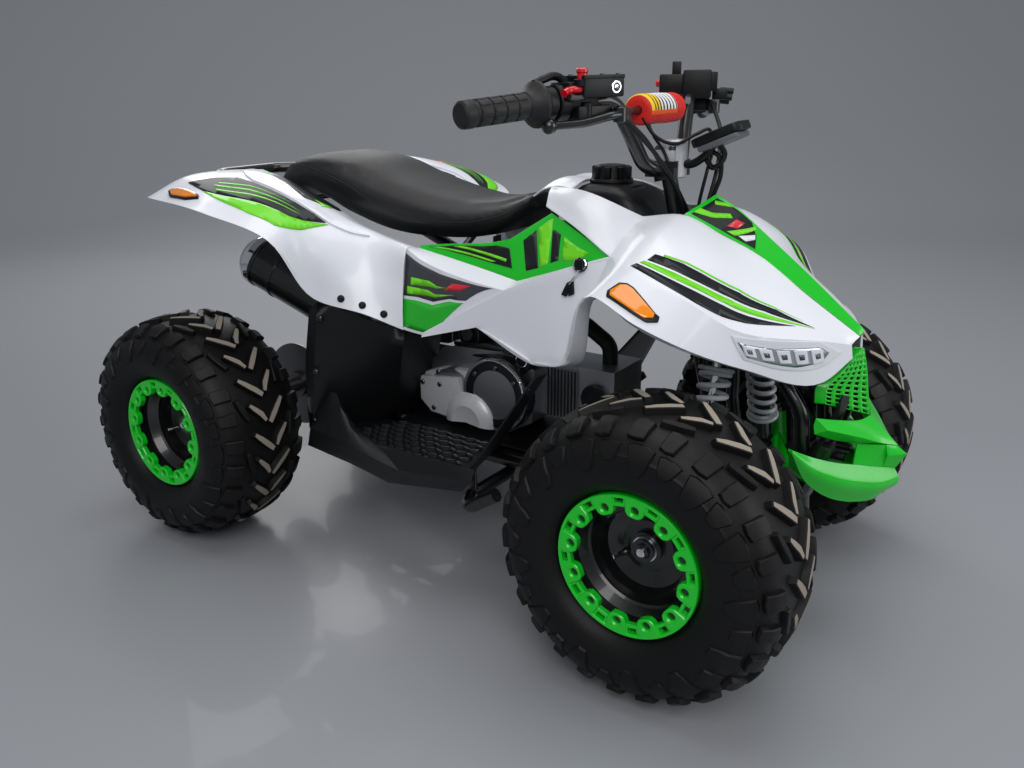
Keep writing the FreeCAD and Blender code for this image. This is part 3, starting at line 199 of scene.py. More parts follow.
def placed(name, mesh, body, replaced):
    """A mesh as a visible piece that rides on a body, in place of the named solids."""
    made = bpy.data.objects.new(name, mesh)
    bpy.context.scene.collection.objects.link(made)
    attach(made, body)
    if replaced:
        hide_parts(*replaced)
    return made


def walled(piece, thickness, bevel=0):
    """Gives a surface a wall behind it and eased edges, in millimetres."""
    solid = piece.modifiers.new("wall", "SOLIDIFY")
    solid.thickness = thickness * MM
    solid.offset = -1
    if bevel:
        eased = piece.modifiers.new("edges", "BEVEL")
        eased.width = bevel * MM
        eased.segments = 2
        eased.limit_method = "ANGLE"
        eased.angle_limit = math.radians(50)


def face_outward(mesh, outward):
    """Turns each face of a mesh towards a direction."""
    for face in mesh.faces:
        face.normal_update()
        if face.normal.dot(outward) < 0:
            face.normal_flip()


class Maker:
    """Collects the shapes of one piece, each with one of its materials."""

    def __init__(self, *looks):
        self.mesh = bmesh.new()
        self.looks = looks

    def add(self, points, faces, look=0):
        """Faces between points, given by the points' numbers."""
        verts = [self.mesh.verts.new(point) for point in points]
        for face in faces:
            made = self.mesh.faces.new([verts[index] for index in face])
            made.material_index = look
            made.smooth = True
        return verts

    def grid(self, rows, look=0, closed_along=False, closed_across=False):
        """Rows of points joined into quads; either direction may close on itself."""
        count = len(rows[0])
        points = [point for row in rows for point in row]
        faces = []
        for j in range(len(rows) - (0 if closed_across else 1)):
            for i in range(count - (0 if closed_along else 1)):
                k, n = (j + 1) % len(rows), (i + 1) % count
                faces.append((j * count + i, j * count + n, k * count + n, k * count + i))
        return self.add(points, faces, look)

    def lathe(self, centre, axis, profile, steps=32, look=0, closed=True):
        """A profile of (along, radius) places in millimetres, turned about an axis."""
        axis = Vector(axis).normalized()
        side = axis.orthogonal().normalized()
        other = axis.cross(side)
        rows = []
        for along, radius in profile:
            middle = centre + axis * (along * MM)
            rows.append([middle + spoke(side, other, step, steps) * (radius * MM) for step in range(steps)])
        self.grid(rows, look, closed_along=True, closed_across=closed)

    def bar(self, start, end, radius, steps=20, look=0, chamfer=0):
        """A round bar with flat or chamfered ends; radius and chamfer in millimetres."""
        axis = end - start
        length = axis.length / MM
        profile = [(0, TIP), (0, radius), (length, radius), (length, TIP)]
        if chamfer:
            profile[1:3] = [
                (0, radius - chamfer), (chamfer, radius), (length - chamfer, radius),
                (length, radius - chamfer)]
        self.lathe(start, axis, profile, steps, look, closed=False)

    def hose(self, points, radius, look=0, steps=10, sides=12, smooth=True):
        """A round tube along a line through points; radius in millimetres."""
        line = curve_through(points, steps) if smooth else points
        forward = (line[1] - line[0]).normalized()
        side = forward.orthogonal().normalized()
        rows = []
        for index, point in enumerate(line):
            ahead = line[min(index + 1, len(line) - 1)] - line[max(index - 1, 0)]
            ahead.normalize()
            side = (side - ahead * side.dot(ahead)).normalized()
            other = ahead.cross(side)
            rows.append([point + spoke(side, other, step, sides) * (radius * MM) for step in range(sides)])
        verts = self.grid(rows, look, closed_along=True)
        for ring in (verts[:sides], verts[-sides:]):
            cap = self.mesh.faces.new(ring)
            cap.material_index = look

    def plate(self, outline, push, look=0, bevel=0):
        """A flat outline pushed into a solid, with its edges eased by so many millimetres."""
        count = len(outline)
        points = list(outline) + [point + push for point in outline]
        faces = [tuple(range(count)), tuple(reversed(range(count, 2 * count)))]
        faces += [(i, (i + 1) % count, count + (i + 1) % count, count + i) for i in range(count)]
        verts = self.add(points, faces, look)
        made = list({face for vert in verts for face in vert.link_faces})
        for face in made:
            face.smooth = False
        bmesh.ops.recalc_face_normals(self.mesh, faces=made)
        if bevel:
            edges = list({edge for face in made for edge in face.edges})
            bmesh.ops.bevel(
                self.mesh, geom=edges, offset=bevel * MM, segments=2, profile=0.6, affect="EDGES",
                clamp_overlap=True, material=look)

    def block(self, low, high, look, bevel):
        """A box between two corners, with its edges eased."""
        outline = [
            Vector((low.x, low.y, low.z)), Vector((high.x, low.y, low.z)),
            Vector((high.x, high.y, low.z)), Vector((low.x, high.y, low.z))]
        self.plate(outline, Vector((0, 0, high.z - low.z)), look, bevel)

    def mirror(self):
        """Adds the mirror image of everything made so far."""
        found = bmesh.ops.duplicate(
            self.mesh, geom=self.mesh.verts[:] + self.mesh.edges[:] + self.mesh.faces[:])
        copies = [item for item in found["geom"] if isinstance(item, bmesh.types.BMVert)]
        for vert in copies:
            vert.co.y = -vert.co.y
        faces = [item for item in found["geom"] if isinstance(item, bmesh.types.BMFace)]
        bmesh.ops.reverse_faces(self.mesh, faces=faces)

    def finished(self, name, sharp, recalculate=True):
        """Turns the collected shapes into one mesh; edges bent past so many degrees look sharp."""
        if recalculate:
            bmesh.ops.recalc_face_normals(self.mesh, faces=self.mesh.faces[:])
        mesh = bpy.data.meshes.new(name)
        self.mesh.to_mesh(mesh)
        self.mesh.free()
        mesh.set_sharp_from_angle(angle=math.radians(sharp))
        for look in self.looks:
            mesh.materials.append(look)
        return mesh

    def piece(self, name, body, slot, replaced=(), sharp=32, recalculate=True):
        """Turns the collected shapes into one piece that rides on a body."""
        return placed(name, self.finished(name, sharp, recalculate), body, replaced)


def row_of(*points):
    """Points in millimetres from the middle of the wheelbase, as a row in metres."""
    return [mm(*point) for point in points]


def between(first, second, lifts, share=0.5):
    """A row part of the way from one row to another, raised by so many millimetres."""
    return [a.lerp(b, share) + move(0, 0, lift) for a, b, lift in zip(first, second, lifts)]


def moved_row(row, *moves):
    """A row with each point moved by its own millimetres."""
    return [point + move(*change) for point, change in zip(row, moves)]


class Panel:
    """A moulded surface through rows of points. A place on it is a column and a row of those points."""

    def __init__(self, rows, outward, corner_columns=(), corner_rows=(), along=8, across=8):
        self.rows = surface_through(rows, along, across, corner_columns, corner_rows)
        self.along, self.across = along, across
        self.outward = Vector(outward)

    def at(self, column, row, lift=0.0):
        """The point at a column and row, raised off the surface."""
        x = min(max(column * self.along, 0), len(self.rows[0]) - 1.00001)
        y = min(max(row * self.across, 0), len(self.rows) - 1.00001)
        i, j = int(x), int(y)
        u, v = x - i, y - j
        a, b, d, c = self.rows[j][i], self.rows[j][i + 1], self.rows[j + 1][i], self.rows[j + 1][i + 1]
        point = a.lerp(b, u).lerp(d.lerp(c, u), v)
        normal = (b - a).lerp(c - d, v).cross((d - a).lerp(c - b, u))
        if normal.dot(self.outward) < 0:
            normal.negate()
        return point + normal.normalized() * lift


def moulded(name, panels, slot, replaced=(), wall=3, both=True):
    """A thin moulding made of panels that meet, on both sides of the vehicle; wall in millimetres."""
    maker = Maker(SLOT_MATERIALS[slot])
    for panel in panels:
        for side in ((1, -1) if both else (1,)):
            rows = panel.rows if side == 1 else [[flipped(point) for point in row] for row in panel.rows]
            away = panel.outward if side == 1 else flipped(panel.outward)
            verts = maker.grid(rows)
            made = list({face for vert in verts for face in vert.link_faces})
            total = Vector()
            for face in made:
                face.normal_update()
                total += face.normal * face.calc_area()
            if total.dot(away) < 0:
                bmesh.ops.reverse_faces(maker.mesh, faces=made)
    bmesh.ops.remove_doubles(maker.mesh, verts=maker.mesh.verts[:], dist=0.0005)
    walled(maker.piece(name, "chassis", slot, replaced, sharp=26, recalculate=False), wall, bevel=0.8)


def printed(name, panel, outlines, look, slot, lift=0.5, wall=0.3, bevel=0, replaced=()):
    """Film or a raised pad on a panel, on both sides, from (column, row) outlines; sizes in millimetres."""
    film = bmesh.new()
    for outline in outlines:
        film.faces.new([film.verts.new((column, row, 0)) for column, row in outline])
    for axis, pitch in ((Vector((1, 0, 0)), 1 / panel.along), (Vector((0, 1, 0)), 1 / panel.across)):
        places = [vert.co.dot(axis) for vert in film.verts]
        step = math.ceil(min(places) / pitch) * pitch
        end = max(places)
        while step < end:
            geometry = film.verts[:] + film.edges[:] + film.faces[:]
            bmesh.ops.bisect_plane(film, geom=geometry, plane_co=axis * step, plane_no=axis, dist=1e-6)
            step += pitch
    if not bevel:
        bmesh.ops.triangulate(film, faces=film.faces[:])
    for vert in film.verts:
        vert.co = panel.at(vert.co.x, vert.co.y, lift * MM)
    for face in film.faces:
        face.smooth = True
    face_outward(film, panel.outward)
    maker = Maker(look)
    maker.mesh.free()
    maker.mesh = film
    maker.mirror()
    walled(maker.piece(name, "chassis", slot, replaced, sharp=26, recalculate=False), wall, bevel)


LIME = material("lime_film", linear(118, 226, 36), 0.36, coat=0.2, mottling=0.03, shine=0.3)
GREEN_FILM = material("green_film", linear(30, 190, 40), 0.25, coat=0.7, mottling=0.03)
BLACK_FILM = material("black_film", linear(24, 26, 30), 0.42, coat=0.15, mottling=0.04, shine=0.25)
GREY_FILM = material("grey_film", linear(62, 64, 70), 0.3, coat=0.6, mottling=0.04)
WHITE_FILM = material("white_film", linear(236, 240, 240), 0.25, coat=0.7, mottling=0.03)
RED_FILM = material("red_film", linear(224, 34, 58), 0.25, coat=0.7, mottling=0.03)

# Front fairing

hood_edge = row_of(
    (150, -62, 636), (228, -92, 635), (318, -85, 603), (372, -62, 606), (425, -46, 579), (473, -31, 553),
    (545, -22, 500), (618, -14, 449))
crease = row_of(
    (172, -116, 612), (240, -148, 590), (316, -183, 559), (366, -231, 560), (450, -235, 525),
    (500, -184, 480), (585, -84, 454), (612, -30, 440))
leg_top = row_of((-8, -205, 405), (149, -200, 494), (240, -192, 533)) + crease[2:]
arch = row_of(
    (-6, -207, 399), (100, -203, 430), (203, -205, 388), (275, -239, 408), (340, -280, 524),
    (410, -291, 498), (512, -172, 425), (590, -74, 394), (614, -26, 420))
arch_inside = moved_row(
    arch, (0, 5, 1), (2, 8, 2), (5, 30, 2), (10, 32, -6), (-2, 26, -8), (-12, 12, -4), (-12, 8, -3),
    (-8, 6, -3), (-3, 4, -3))
roof = Panel(
    [hood_edge, between(hood_edge, crease, (6, 8, 4, 10, 12, 10, 4, 1)), crease], (0.1, -0.4, 1), (2,))
face = Panel([leg_top, arch], (0.4, -1, 0.2), (1, 3))
face_back = Panel([arch, arch_inside], (0.3, 0, -1), (1, 2), across=3)
moulded("front_fairing_skin", [roof, face, face_back], "white_plastic", ["front_fairing"])

printed("hood_print_black", roof, [
    ((3.30, 1.52), (3.75, 1.40), (4.30, 1.36), (4.90, 1.28), (5.45, 1.32), (5.95, 1.56), (5.30, 1.44),
     (4.80, 1.46), (4.20, 1.55), (3.70, 1.61), (3.25, 1.70)),
    ((3.14, 1.86), (3.60, 1.81), (4.20, 1.74), (4.70, 1.67), (5.20, 1.64), (5.70, 1.63), (5.10, 1.80),
     (4.70, 1.88), (4.20, 1.94), (3.60, 1.96), (3.08, 1.97)),
], BLACK_FILM, "black_plastic")
printed("hood_print_lime", roof, [
    ((3.22, 1.74), (3.70, 1.65), (4.20, 1.59), (4.80, 1.50), (5.30, 1.48), (5.95, 1.59), (5.20, 1.59),
     (4.70, 1.62), (4.20, 1.69), (3.65, 1.77), (3.17, 1.82)),
    ((3.42, 1.44), (3.80, 1.33), (4.30, 1.29), (4.90, 1.21), (5.40, 1.26), (5.80, 1.42), (5.42, 1.29),
     (4.90, 1.245), (4.30, 1.325), (3.80, 1.365), (3.44, 1.475)),
], LIME, "green_plastic")

# Side panels

ledge_inner = row_of(
    (-52, -150, 533), (0, -157, 527), (50, -164, 521), (105, -172, 514), (161, -180, 506), (238, -182, 532),
    (316, -180, 556))
side_top = row_of(
    (-50, -148, 537), (-5, -148, 543), (40, -148, 548), (85, -149, 553), (127, -150, 562), (185, -120, 603),
    (314, -178, 560))
ledge_outer = row_of(
    (-57, -180, 538), (-25, -184, 523), (23, -189, 510), (86, -195, 500), (149, -200, 494),
    (240, -192, 533), (316, -183, 559))
triangle_low = row_of(
    (-53, -200, 404), (-30, -200, 402), (-4, -200, 400), (72, -200, 446), (148.8, -200, 493.8))
side_green = Panel([side_top, ledge_inner], (0, -1, 0.5), (4, 5))
ledge = Panel([ledge_inner, ledge_outer], (0, -0.5, 1), (4,))
triangle = Panel([ledge_outer[:5], triangle_low], (0, -1, 0.2), (2,))
moulded("side_ledge", [ledge, triangle], "white_plastic", ["side_panels"])
moulded("side_panel_green", [side_green], "green_plastic")

printed("side_print_black", side_green, [
    ((0.35, 0.36), (1.4, 0.14), (3.4, 0.12), (3.95, 0.22), (3.9, 0.72), (3.2, 0.70), (1.6, 0.58)),
    ((4.30, 0.20), (4.62, 0.14), (4.52, 0.86), (4.24, 0.84)),
    ((4.96, 0.30), (5.12, 0.34), (4.98, 0.84), (4.80, 0.84)),
], BLACK_FILM, "black_plastic")
printed("side_print_lime", side_green, [
    ((4.66, 0.13), (5.02, 0.10), (4.74, 0.84), (4.56, 0.86)),
    ((5.18, 0.36), (5.62, 0.62), (5.40, 0.88), (5.04, 0.84)),
], LIME, "green_plastic")
printed("side_print_lines", side_green, [
    ((0.5, 0.40), (0.9, 0.30), (3.3, 0.62), (3.1, 0.66)),
    ((1.5, 0.20), (1.9, 0.16), (3.75, 0.50), (3.7, 0.58)),
], LIME, "green_plastic", lift=0.8)
printed("triangle_print_grey", triangle, [
    (
        (0.10, 0.06), (1.0, 0.06), (2.0, 0.06), (3.0, 0.07), (3.72, 0.10), (3.0, 0.58), (2.5, 0.46),
        (1.2, 0.50), (0.04, 0.58)),
], GREY_FILM, "black_plastic")
printed("triangle_print_lime", triangle, [
    ((0.04, 0.62), (1.2, 0.55), (2.5, 0.51), (2.95, 0.63), (2.4, 0.95), (1.2, 0.96), (0.03, 0.96)),
], GREEN_FILM, "green_plastic")
printed("triangle_print_bars", triangle, [
    ((0.55, 0.30), (1.6, 0.22), (2.3, 0.26), (1.6, 0.30), (0.55, 0.40)),
    ((0.30, 0.44), (1.6, 0.35), (2.6, 0.39), (1.6, 0.43), (0.30, 0.54)),
], LIME, "green_plastic", lift=0.8)
printed("triangle_print_mark", triangle, [
    ((2.45, 0.16), (3.05, 0.14), (2.75, 0.30), (2.25, 0.30)),
], RED_FILM, "pad_red", lift=0.8)

# Rear fenders

rear_rows = [
    row_of(
        (-470, -105, 640), (-384, -127, 628), (-235, -128, 575), (-180, -130, 552), (-128, -130, 540),
        (-55, -150, 532)),
    row_of(
        (-480, -190, 645), (-384, -197, 643), (-225, -200, 598), (-185, -185, 575), (-132, -165, 552),
        (-52, -178, 539)),
    row_of(
        (-490, -270, 640), (-370, -290, 628), (-215, -285, 588), (-175, -265, 545), (-118, -215, 495),
        (-50, -198, 470)),
    row_of(
        (-502, -345, 610), (-310, -372, 597), (-200, -345, 560), (-178, -275, 455), (-100, -236, 430),
        (-46, -206, 405)),
]
fender_inside = moved_row(
    rear_rows[3], (6, 8, -3), (2, 14, -7), (-3, 14, -8), (-8, 14, -2), (-2, 12, -6), (0, 10, -2))
rear_skin = Panel(rear_rows, (-0.1, -0.7, 1))
rear_return = Panel([rear_rows[3], fender_inside], (0, 0.2, -1), across=3)
moulded("rear_fairing_skin", [rear_skin, rear_return], "white_plastic", ["rear_fairing"])
printed("fender_print_black", rear_skin, [
    ((0.30, 2.20), (0.62, 1.70), (1.00, 1.46), (1.40, 1.48), (1.80, 1.50), (2.30, 1.48), (2.85, 1.46),
     (2.35, 1.80), (1.75, 2.06), (1.20, 2.22), (0.80, 2.32)),
], BLACK_FILM, "black_plastic", lift=1.6, wall=1.4)
printed("fender_print_lime", rear_skin, [
    ((0.80, 2.33), (1.25, 2.22), (1.75, 2.07), (2.35, 1.81), (2.95, 1.46), (2.50, 1.98), (1.95, 2.48),
     (1.60, 2.54), (1.25, 2.46)),
], LIME, "green_plastic", lift=1.6, wall=1.4)
printed("fender_print_lines", rear_skin, [
    ((0.85, 1.86), (1.30, 1.62), (1.85, 1.60), (1.30, 1.66), (0.88, 1.90)),
    ((0.85, 2.00), (1.35, 1.76), (2.05, 1.66), (1.36, 1.81), (0.88, 2.05)),
    ((0.95, 2.12), (1.45, 1.90), (2.15, 1.72), (1.46, 1.95), (0.98, 2.16)),
], LIME, "green_plastic", lift=2.0, wall=0.6)


# Tyres, with places given as millimetres across from the crown's middle and along it

TYRE_RADIUS = 203.0
CASING = (
    (0, 193.5), (20, 193.3), (40, 192.4), (56, 190.2), (70, 185.4), (81, 177.4), (89, 166.5), (93.2, 157.8),
    (94.4, 156.6), (94.2, 154.6), (95.6, 146), (96, 138), (94, 126), (88.5, 113), (80, 104), (72, 99.8),
    (66.4, 98.4), (65.7, 97.2))
CASING_INSIDE = ((65.7, 89.6), (57, 89.6), (57, 98), (84, 122), (88, 146), (78, 172), (50, 183), (0, 185))
PITCHES = 13
PITCH = 2 * math.pi * TYRE_RADIUS / PITCHES
TAN_RUBBER = material("tread_face", linear(150, 141, 128), 0.8, grain=0.4, grain_scale=300, mottling=0.1)


def casing_place(across):
    """The (outboard, radius) place and outward direction at a distance across from the crown's middle."""
    left = abs(across)
    for (w0, r0), (w1, r1) in zip(CASING, CASING[1:]):
        run = math.hypot(w1 - w0, r1 - r0)
        if left <= run or (w1, r1) == CASING[-1]:
            share = left / run
            out = (-(r1 - r0) / run, (w1 - w0) / run)
            place = (w0 + (w1 - w0) * share, r0 + (r1 - r0) * share)
            break
        left -= run
    sign = 1 if across >= 0 else -1
    return (sign * place[0], place[1]), (sign * out[0], out[1])


def on_tyre(across, along, height):
    """A point of the right-hand tyre about its own centre, in metres."""
    smooth = [casing_place(across + near) for near in (-6, -2, 2, 6)]
    place = casing_place(across)[0]
    out = (sum(item[1][0] for item in smooth) / 4, sum(item[1][1] for item in smooth) / 4)
    size = math.hypot(*out)
    outboard = place[0] + out[0] / size * height
    radius = place[1] + out[1] / size * height
    angle = along / TYRE_RADIUS
    return move(radius * math.sin(angle), -outboard, radius * math.cos(angle))


def loop_moved(loop, distance):
    """A closed loop of flat points moved outward by a distance."""
    area = sum(a[0] * b[1] - b[0] * a[1] for a, b in zip(loop, loop[1:] + loop[:1]))
    sign = 1 if area > 0 else -1
    moved = []
    for before, here, after in zip(loop[-1:] + loop[:-1], loop, loop[1:] + loop[:1]):
        normals = []
        for a, b in ((before, here), (here, after)):
            run = max(math.hypot(b[0] - a[0], b[1] - a[1]), 1e-6)
            normals.append((sign * (b[1] - a[1]) / run, -sign * (b[0] - a[0]) / run))
        x, y = normals[0][0] + normals[1][0], normals[0][1] + normals[1][1]
        size = max(x * x + y * y, 1.0) / 2
        moved.append((here[0] + x / size * distance, here[1] + y / size * distance))
    return moved


def lug(maker, left, right, height, cuts, top_look=0, start=0.0):
    """A raised tread block between two lines of (across, along) places."""
    count = len(left)
    flat = [[(
        a[0] + (b[0] - a[0]) * k / cuts, a[1] + (b[1] - a[1]) * k / cuts) for k in range(cuts + 1)]
        for a, b in zip(left, right)]
    ring = [(0, k) for k in range(cuts)] + [(i, cuts) for i in range(count - 1)]
    ring += [(count - 1, k) for k in range(cuts, 0, -1)] + [(i, 0) for i in range(count - 1, 0, -1)]
    loop = [flat[i][k] for i, k in ring]
    for (i, k), place in zip(ring, loop_moved(loop, -1.3)):
        flat[i][k] = place
    index = {}
    points = []
    for i in range(count):
        for k in range(cuts + 1):
            index[i, k] = len(points)
            points.append(on_tyre(flat[i][k][0], flat[i][k][1] + start, height))
    faces = [
        (index[i, k], index[i, k + 1], index[i + 1, k + 1], index[i + 1, k])
        for i in range(count - 1) for k in range(cuts)]
    maker.add(points, faces, top_look)
    sides, walls = [], []
    for distance, level in ((-1.3, height), (0.0, height - 1.1), (1.6, -1.0)):
        sides += [on_tyre(s, a + start, level) for s, a in loop_moved(loop, distance)]
    size = len(ring)
    for level in range(2):
        for k in range(size):
            n = (k + 1) % size
            low, high = level * size, (level + 1) * size
            walls.append((low + k, low + n, high + n, high + k))
    maker.add(sides, walls, 0)


def bent_strip(line, half_widths):
    """The left and right lines of a strip of given half widths along a bent line of flat points."""
    left, right = [], []
    for index, (here, half) in enumerate(zip(line, half_widths)):
        before, after = line[max(index - 1, 0)], line[min(index + 1, len(line) - 1)]
        normals = []
        for a, b in ((before, here), (here, after)):
            run = math.hypot(b[0] - a[0], b[1] - a[1])
            if run:
                normals.append((-(b[1] - a[1]) / run, (b[0] - a[0]) / run))
        x = sum(normal[0] for normal in normals)
        y = sum(normal[1] for normal in normals)
        size = (x * x + y * y) / len(normals)
        left.append((here[0] + x / size * half, here[1] + y / size * half))
        right.append((here[0] - x / size * half, here[1] - y / size * half))
    return left, right


# Crown blocks: a bent line with half widths, a height and a look
BENT_LUGS = (
    (((36, -2), (24, 10), (10, 24), (-1, 36)), (4, 5.6, 6.2, 5.2), 9.4, 1),
    (((33, 45), (25, 54), (14, 66), (7, 80)), (3.6, 5.2, 5.8, 4), 9.2, 1),
    (((51, 30), (48, 42), (44, 56), (39, 70)), (3.2, 4.6, 4.8, 3.2), 8.6, 0),
)
# Shoulder and side blocks: two lines, a height and a number of cuts between them
WIDE_LUGS = (
    (((57, 2), (56, 14), (58, 26)), ((84, -1), (86, 11), (84, 23)), 7.4, 4),
    (((60, 50), (58, 60), (60, 72)), ((86, 48), (88, 58), (86, 69)), 7, 4),
    (((93, 4), (90, 14), (90, 34), (93, 46)), ((119, 10), (130, 17), (130, 33), (119, 41)), 3, 5),
    (((94, 54), (92, 62), (92, 80), (94, 90)), ((110, 58), (117, 63), (117, 79), (110, 85)), 2.6, 4),
)


def tyre_maker():
    """The right-hand tyre about its own centre."""
    maker = Maker(RUBBER, TAN_RUBBER)
    outside = [Vector((w, r, 0)) for w, r in CASING]
    fine = curve_through(outside, 3, corners=(6, 7, 8, 9))
    profile = [(point.x, point.y) for point in fine] + list(CASING_INSIDE)
    whole = profile + [(-w, r) for w, r in reversed(profile[1:-1])]
    maker.lathe(CENTRE, RIGHT, whole, steps=96)
    for pitch in range(PITCHES):
        start = pitch * PITCH
        for side in (1, -1):
            place = start + (0 if side == 1 else PITCH / 2)

            for line, half_widths, height, look in BENT_LUGS:
                left, right = bent_strip([(side * s, a) for s, a in line], half_widths)
                lug(maker, left, right, height, 1, look, place)
            for left, right, height, cuts in WIDE_LUGS:
                left, right = ([(side * s, a) for s, a in line] for line in (left, right))
                lug(maker, left, right, height, cuts, 0, place)
    return maker


def copied(mesh, name, centre, side, body, replaced=()):
    """A copy of a wheel piece at its wheel, turned over for the left side."""
    mesh = mesh.copy()
    mesh.name = name
    if side == 1:
        mesh.transform(Matrix.Diagonal((1, -1, 1, 1)))
        mesh.flip_normals()
    mesh.transform(Matrix.Translation(centre))
    placed(name, mesh, body, replaced)


WHEELS = (
    ("front_right", 445, -1, 288, "wheel_front_right"), ("front_left", 445, 1, 288, "wheel_front_left"),
    ("rear_right", -445, -1, 328, "rear_axle"), ("rear_left", -445, 1, 328, "rear_axle"))


def polar(radius, degrees, outboard):
    """A point of a right-hand wheel about its own centre, from millimetres and degrees."""
    angle = math.radians(degrees)
    return move(radius * math.sin(angle), -outboard, radius * math.cos(angle))


BOLT_CIRCLE = 80.5
BOLT_HOLE = 5.2
# The outline of one block of the ring, as radii and degrees
RING_BLOCK = (
    (95.8, -9), (95.8, -3), (95.8, 3), (95.8, 9), (88, 9.2), (82, 9.2), (77, 9), (72, 6.4), (70.6, 2.4),
    (70.6, -2.4), (72, -6.4), (77, -9), (82, -9.2), (88, -9.2))


def ring_maker():
    """The beadlock-style ring: twelve holed blocks joined by bridges inside a thin outer rim."""
    maker = Maker(RING_GREEN, STEEL_BLACK)
    base, top = 69.3, 80.3
    rim_profile = ((base, 93.2), (top - 1.5, 93.2), (top, 94.2), (top, 97), (top - 1.2, 98), (base, 98))
    maker.lathe(CENTRE, RIGHT, rim_profile, steps=96)
    bridge = ((81, base), (81, top - 4), (82, top - 2.6), (85.4, top - 2.6), (86.4, top - 4), (86.4, base))
    web = ((84, base), (84, top - 2.2), (95, top - 2.2), (95, base))
    for sector in range(12):
        middle = sector * 30 + 7
        flat = [
            (r * math.sin(math.radians(turn)), r * math.cos(math.radians(turn))) for r, turn in RING_BLOCK]

        def hole(radius):
            """A ring round the bolt's place, with a point for each of the outline's."""
            rays = [(x, y - BOLT_CIRCLE, math.hypot(x, y - BOLT_CIRCLE)) for x, y in flat]
            return [(x / run * radius, y / run * radius + BOLT_CIRCLE) for x, y, run in rays]

        rings = []
        for points, level in (
            (flat, base), (flat, top - 1.4), (loop_moved(flat, -1.4), top),
            (hole(BOLT_HOLE + 2.2), top - 0.2), (hole(BOLT_HOLE), top - 2.6), (hole(BOLT_HOLE), base + 1),
        ):
            rings.append([
                polar(math.hypot(x, y), math.degrees(math.atan2(x, y)) + middle, level) for x, y in points])
        maker.grid(rings, 0, closed_along=True)
        maker.grid([
            [polar(radius, turn + middle, level) for radius, level in bridge]
            for turn in (8.2, 11.6, 15, 18.4, 21.8)], 0, closed_along=True)
        for near, far in ((8.2, 10.9), (19.1, 21.8)):
            rows = [
                [polar(radius, turn + middle, level) for radius, level in web]
                for turn in (near, (near + far) / 2, far)]
            maker.grid(rows, 0, closed_along=True)
            for end in (rows[0], rows[-1]):
                maker.add(end, [(0, 1, 2, 3)])
    bolt_ring = [(base, TIP), (base + 5.5, TIP), (base + 5.5, 3.6), (base + 4.6, 4.4), (base, 4.4)]
    for sector in range(12):
        spot = polar(BOLT_CIRCLE, sector * 30 + 7, 0)
        maker.lathe(spot, RIGHT, bolt_ring, steps=6, look=1)
    return maker


def hub_maker():
    """The centre nut with its washer, and the valve beside it."""
    maker = Maker(CHROME, STEEL, STEEL_BLACK)

    def turned(profile, steps=32, look=0, centre=CENTRE, axis=RIGHT):
        maker.lathe(centre, axis, profile, steps, look)

    turned(((20, 13), (22.2, 13), (23, 14), (23, 17.6), (22.2, 18.4), (20, 18.4)))
    turned(((22, TIP), (29, TIP), (30, 7), (29, 12.4), (22, 12.4)), 6, 1)
    turned(((29, TIP), (36, TIP), (37, 5), (36.4, 6.2), (29, 6.4)), 16, 0)
    for turn in range(3):
        angle = math.radians(120 * turn)
        spot = Vector((0.009 * math.sin(angle), -0.0305, 0.009 * math.cos(angle)))
        maker.block(spot - move(1.7, 3.5, 1.7), spot + move(1.7, 1, 1.7), 1, 0.4)
    stem = move(-26, -18, -12)
    turned(((0, TIP), (0, 5.2), (5, 5.2), (8, 3.4), (18, 3.2), (18, TIP)), 14, 2, stem, (-0.5, -1, -0.1))
    turned(((17, TIP), (17, 3.9), (25, 3.9), (26, 3), (26, TIP)), 12, 0, stem, (-0.5, -1, -0.1))
    return maker


def add_wheels():
    """The tread, ring and hub details of the four wheels."""
    tread = tyre_maker().finished("tyre_mesh", 34)
    ring = ring_maker().finished("ring_mesh", 30)
    hub = hub_maker().finished("hub_mesh", 30)
    for name, x, side, half, body in WHEELS:
        centre = mm(x, side * half, TYRE_RADIUS)
        copied(tread, "tread_" + name, centre, side, body, ["tyre_" + name])
        copied(ring, "ring_" + name, centre, side, body, ["bead_ring_" + name])
        copied(hub, "hub_" + name, centre, side, body)


add_wheels()


# Nose: cowl, grille, lamps and bumper

cowl_ridge = row_of((395, 0, 631), (430, 0, 611), (460, 0, 588), (540, 0, 524), (621, 0, 455))
cowl_edge = [point + move(0, 0.5, 1) for point in hood_edge[3:]]
cowl = Panel([cowl_edge, cowl_ridge], (0.3, -0.5, 1), (2,))
moulded("nose_skin", [cowl], "green_plastic", ["nose_panel"])
printed("cowl_print_black", cowl, [
    (
        (0.10, 0.10), (0.60, 0.10), (1.20, 0.08), (1.92, 0.10), (1.94, 0.60), (1.70, 0.94), (0.90, 0.94),
        (0.16, 0.90)),
], BLACK_FILM, "black_plastic")
printed("cowl_print_lime", cowl, [
    ((0.10, 0.18), (0.55, 0.30), (1.00, 0.62), (0.86, 0.70), (0.45, 0.44), (0.10, 0.38)),
    ((0.30, 0.70), (0.80, 0.92), (0.55, 0.93), (0.18, 0.80)),
    ((1.05, 0.14), (1.30, 0.14), (1.92, 0.80), (1.90, 0.92)),
], LIME, "green_plastic", lift=0.8)
printed("cowl_print_white", cowl, [
    ((1.38, 0.20), (1.62, 0.16), (1.90, 0.42), (1.90, 0.60)),
], WHITE_FILM, "white_plastic", lift=0.8)
printed("cowl_print_red", cowl, [
    ((0.98, 0.30), (1.28, 0.40), (1.44, 0.72), (1.12, 0.66)),
], RED_FILM, "pad_red", lift=0.8)


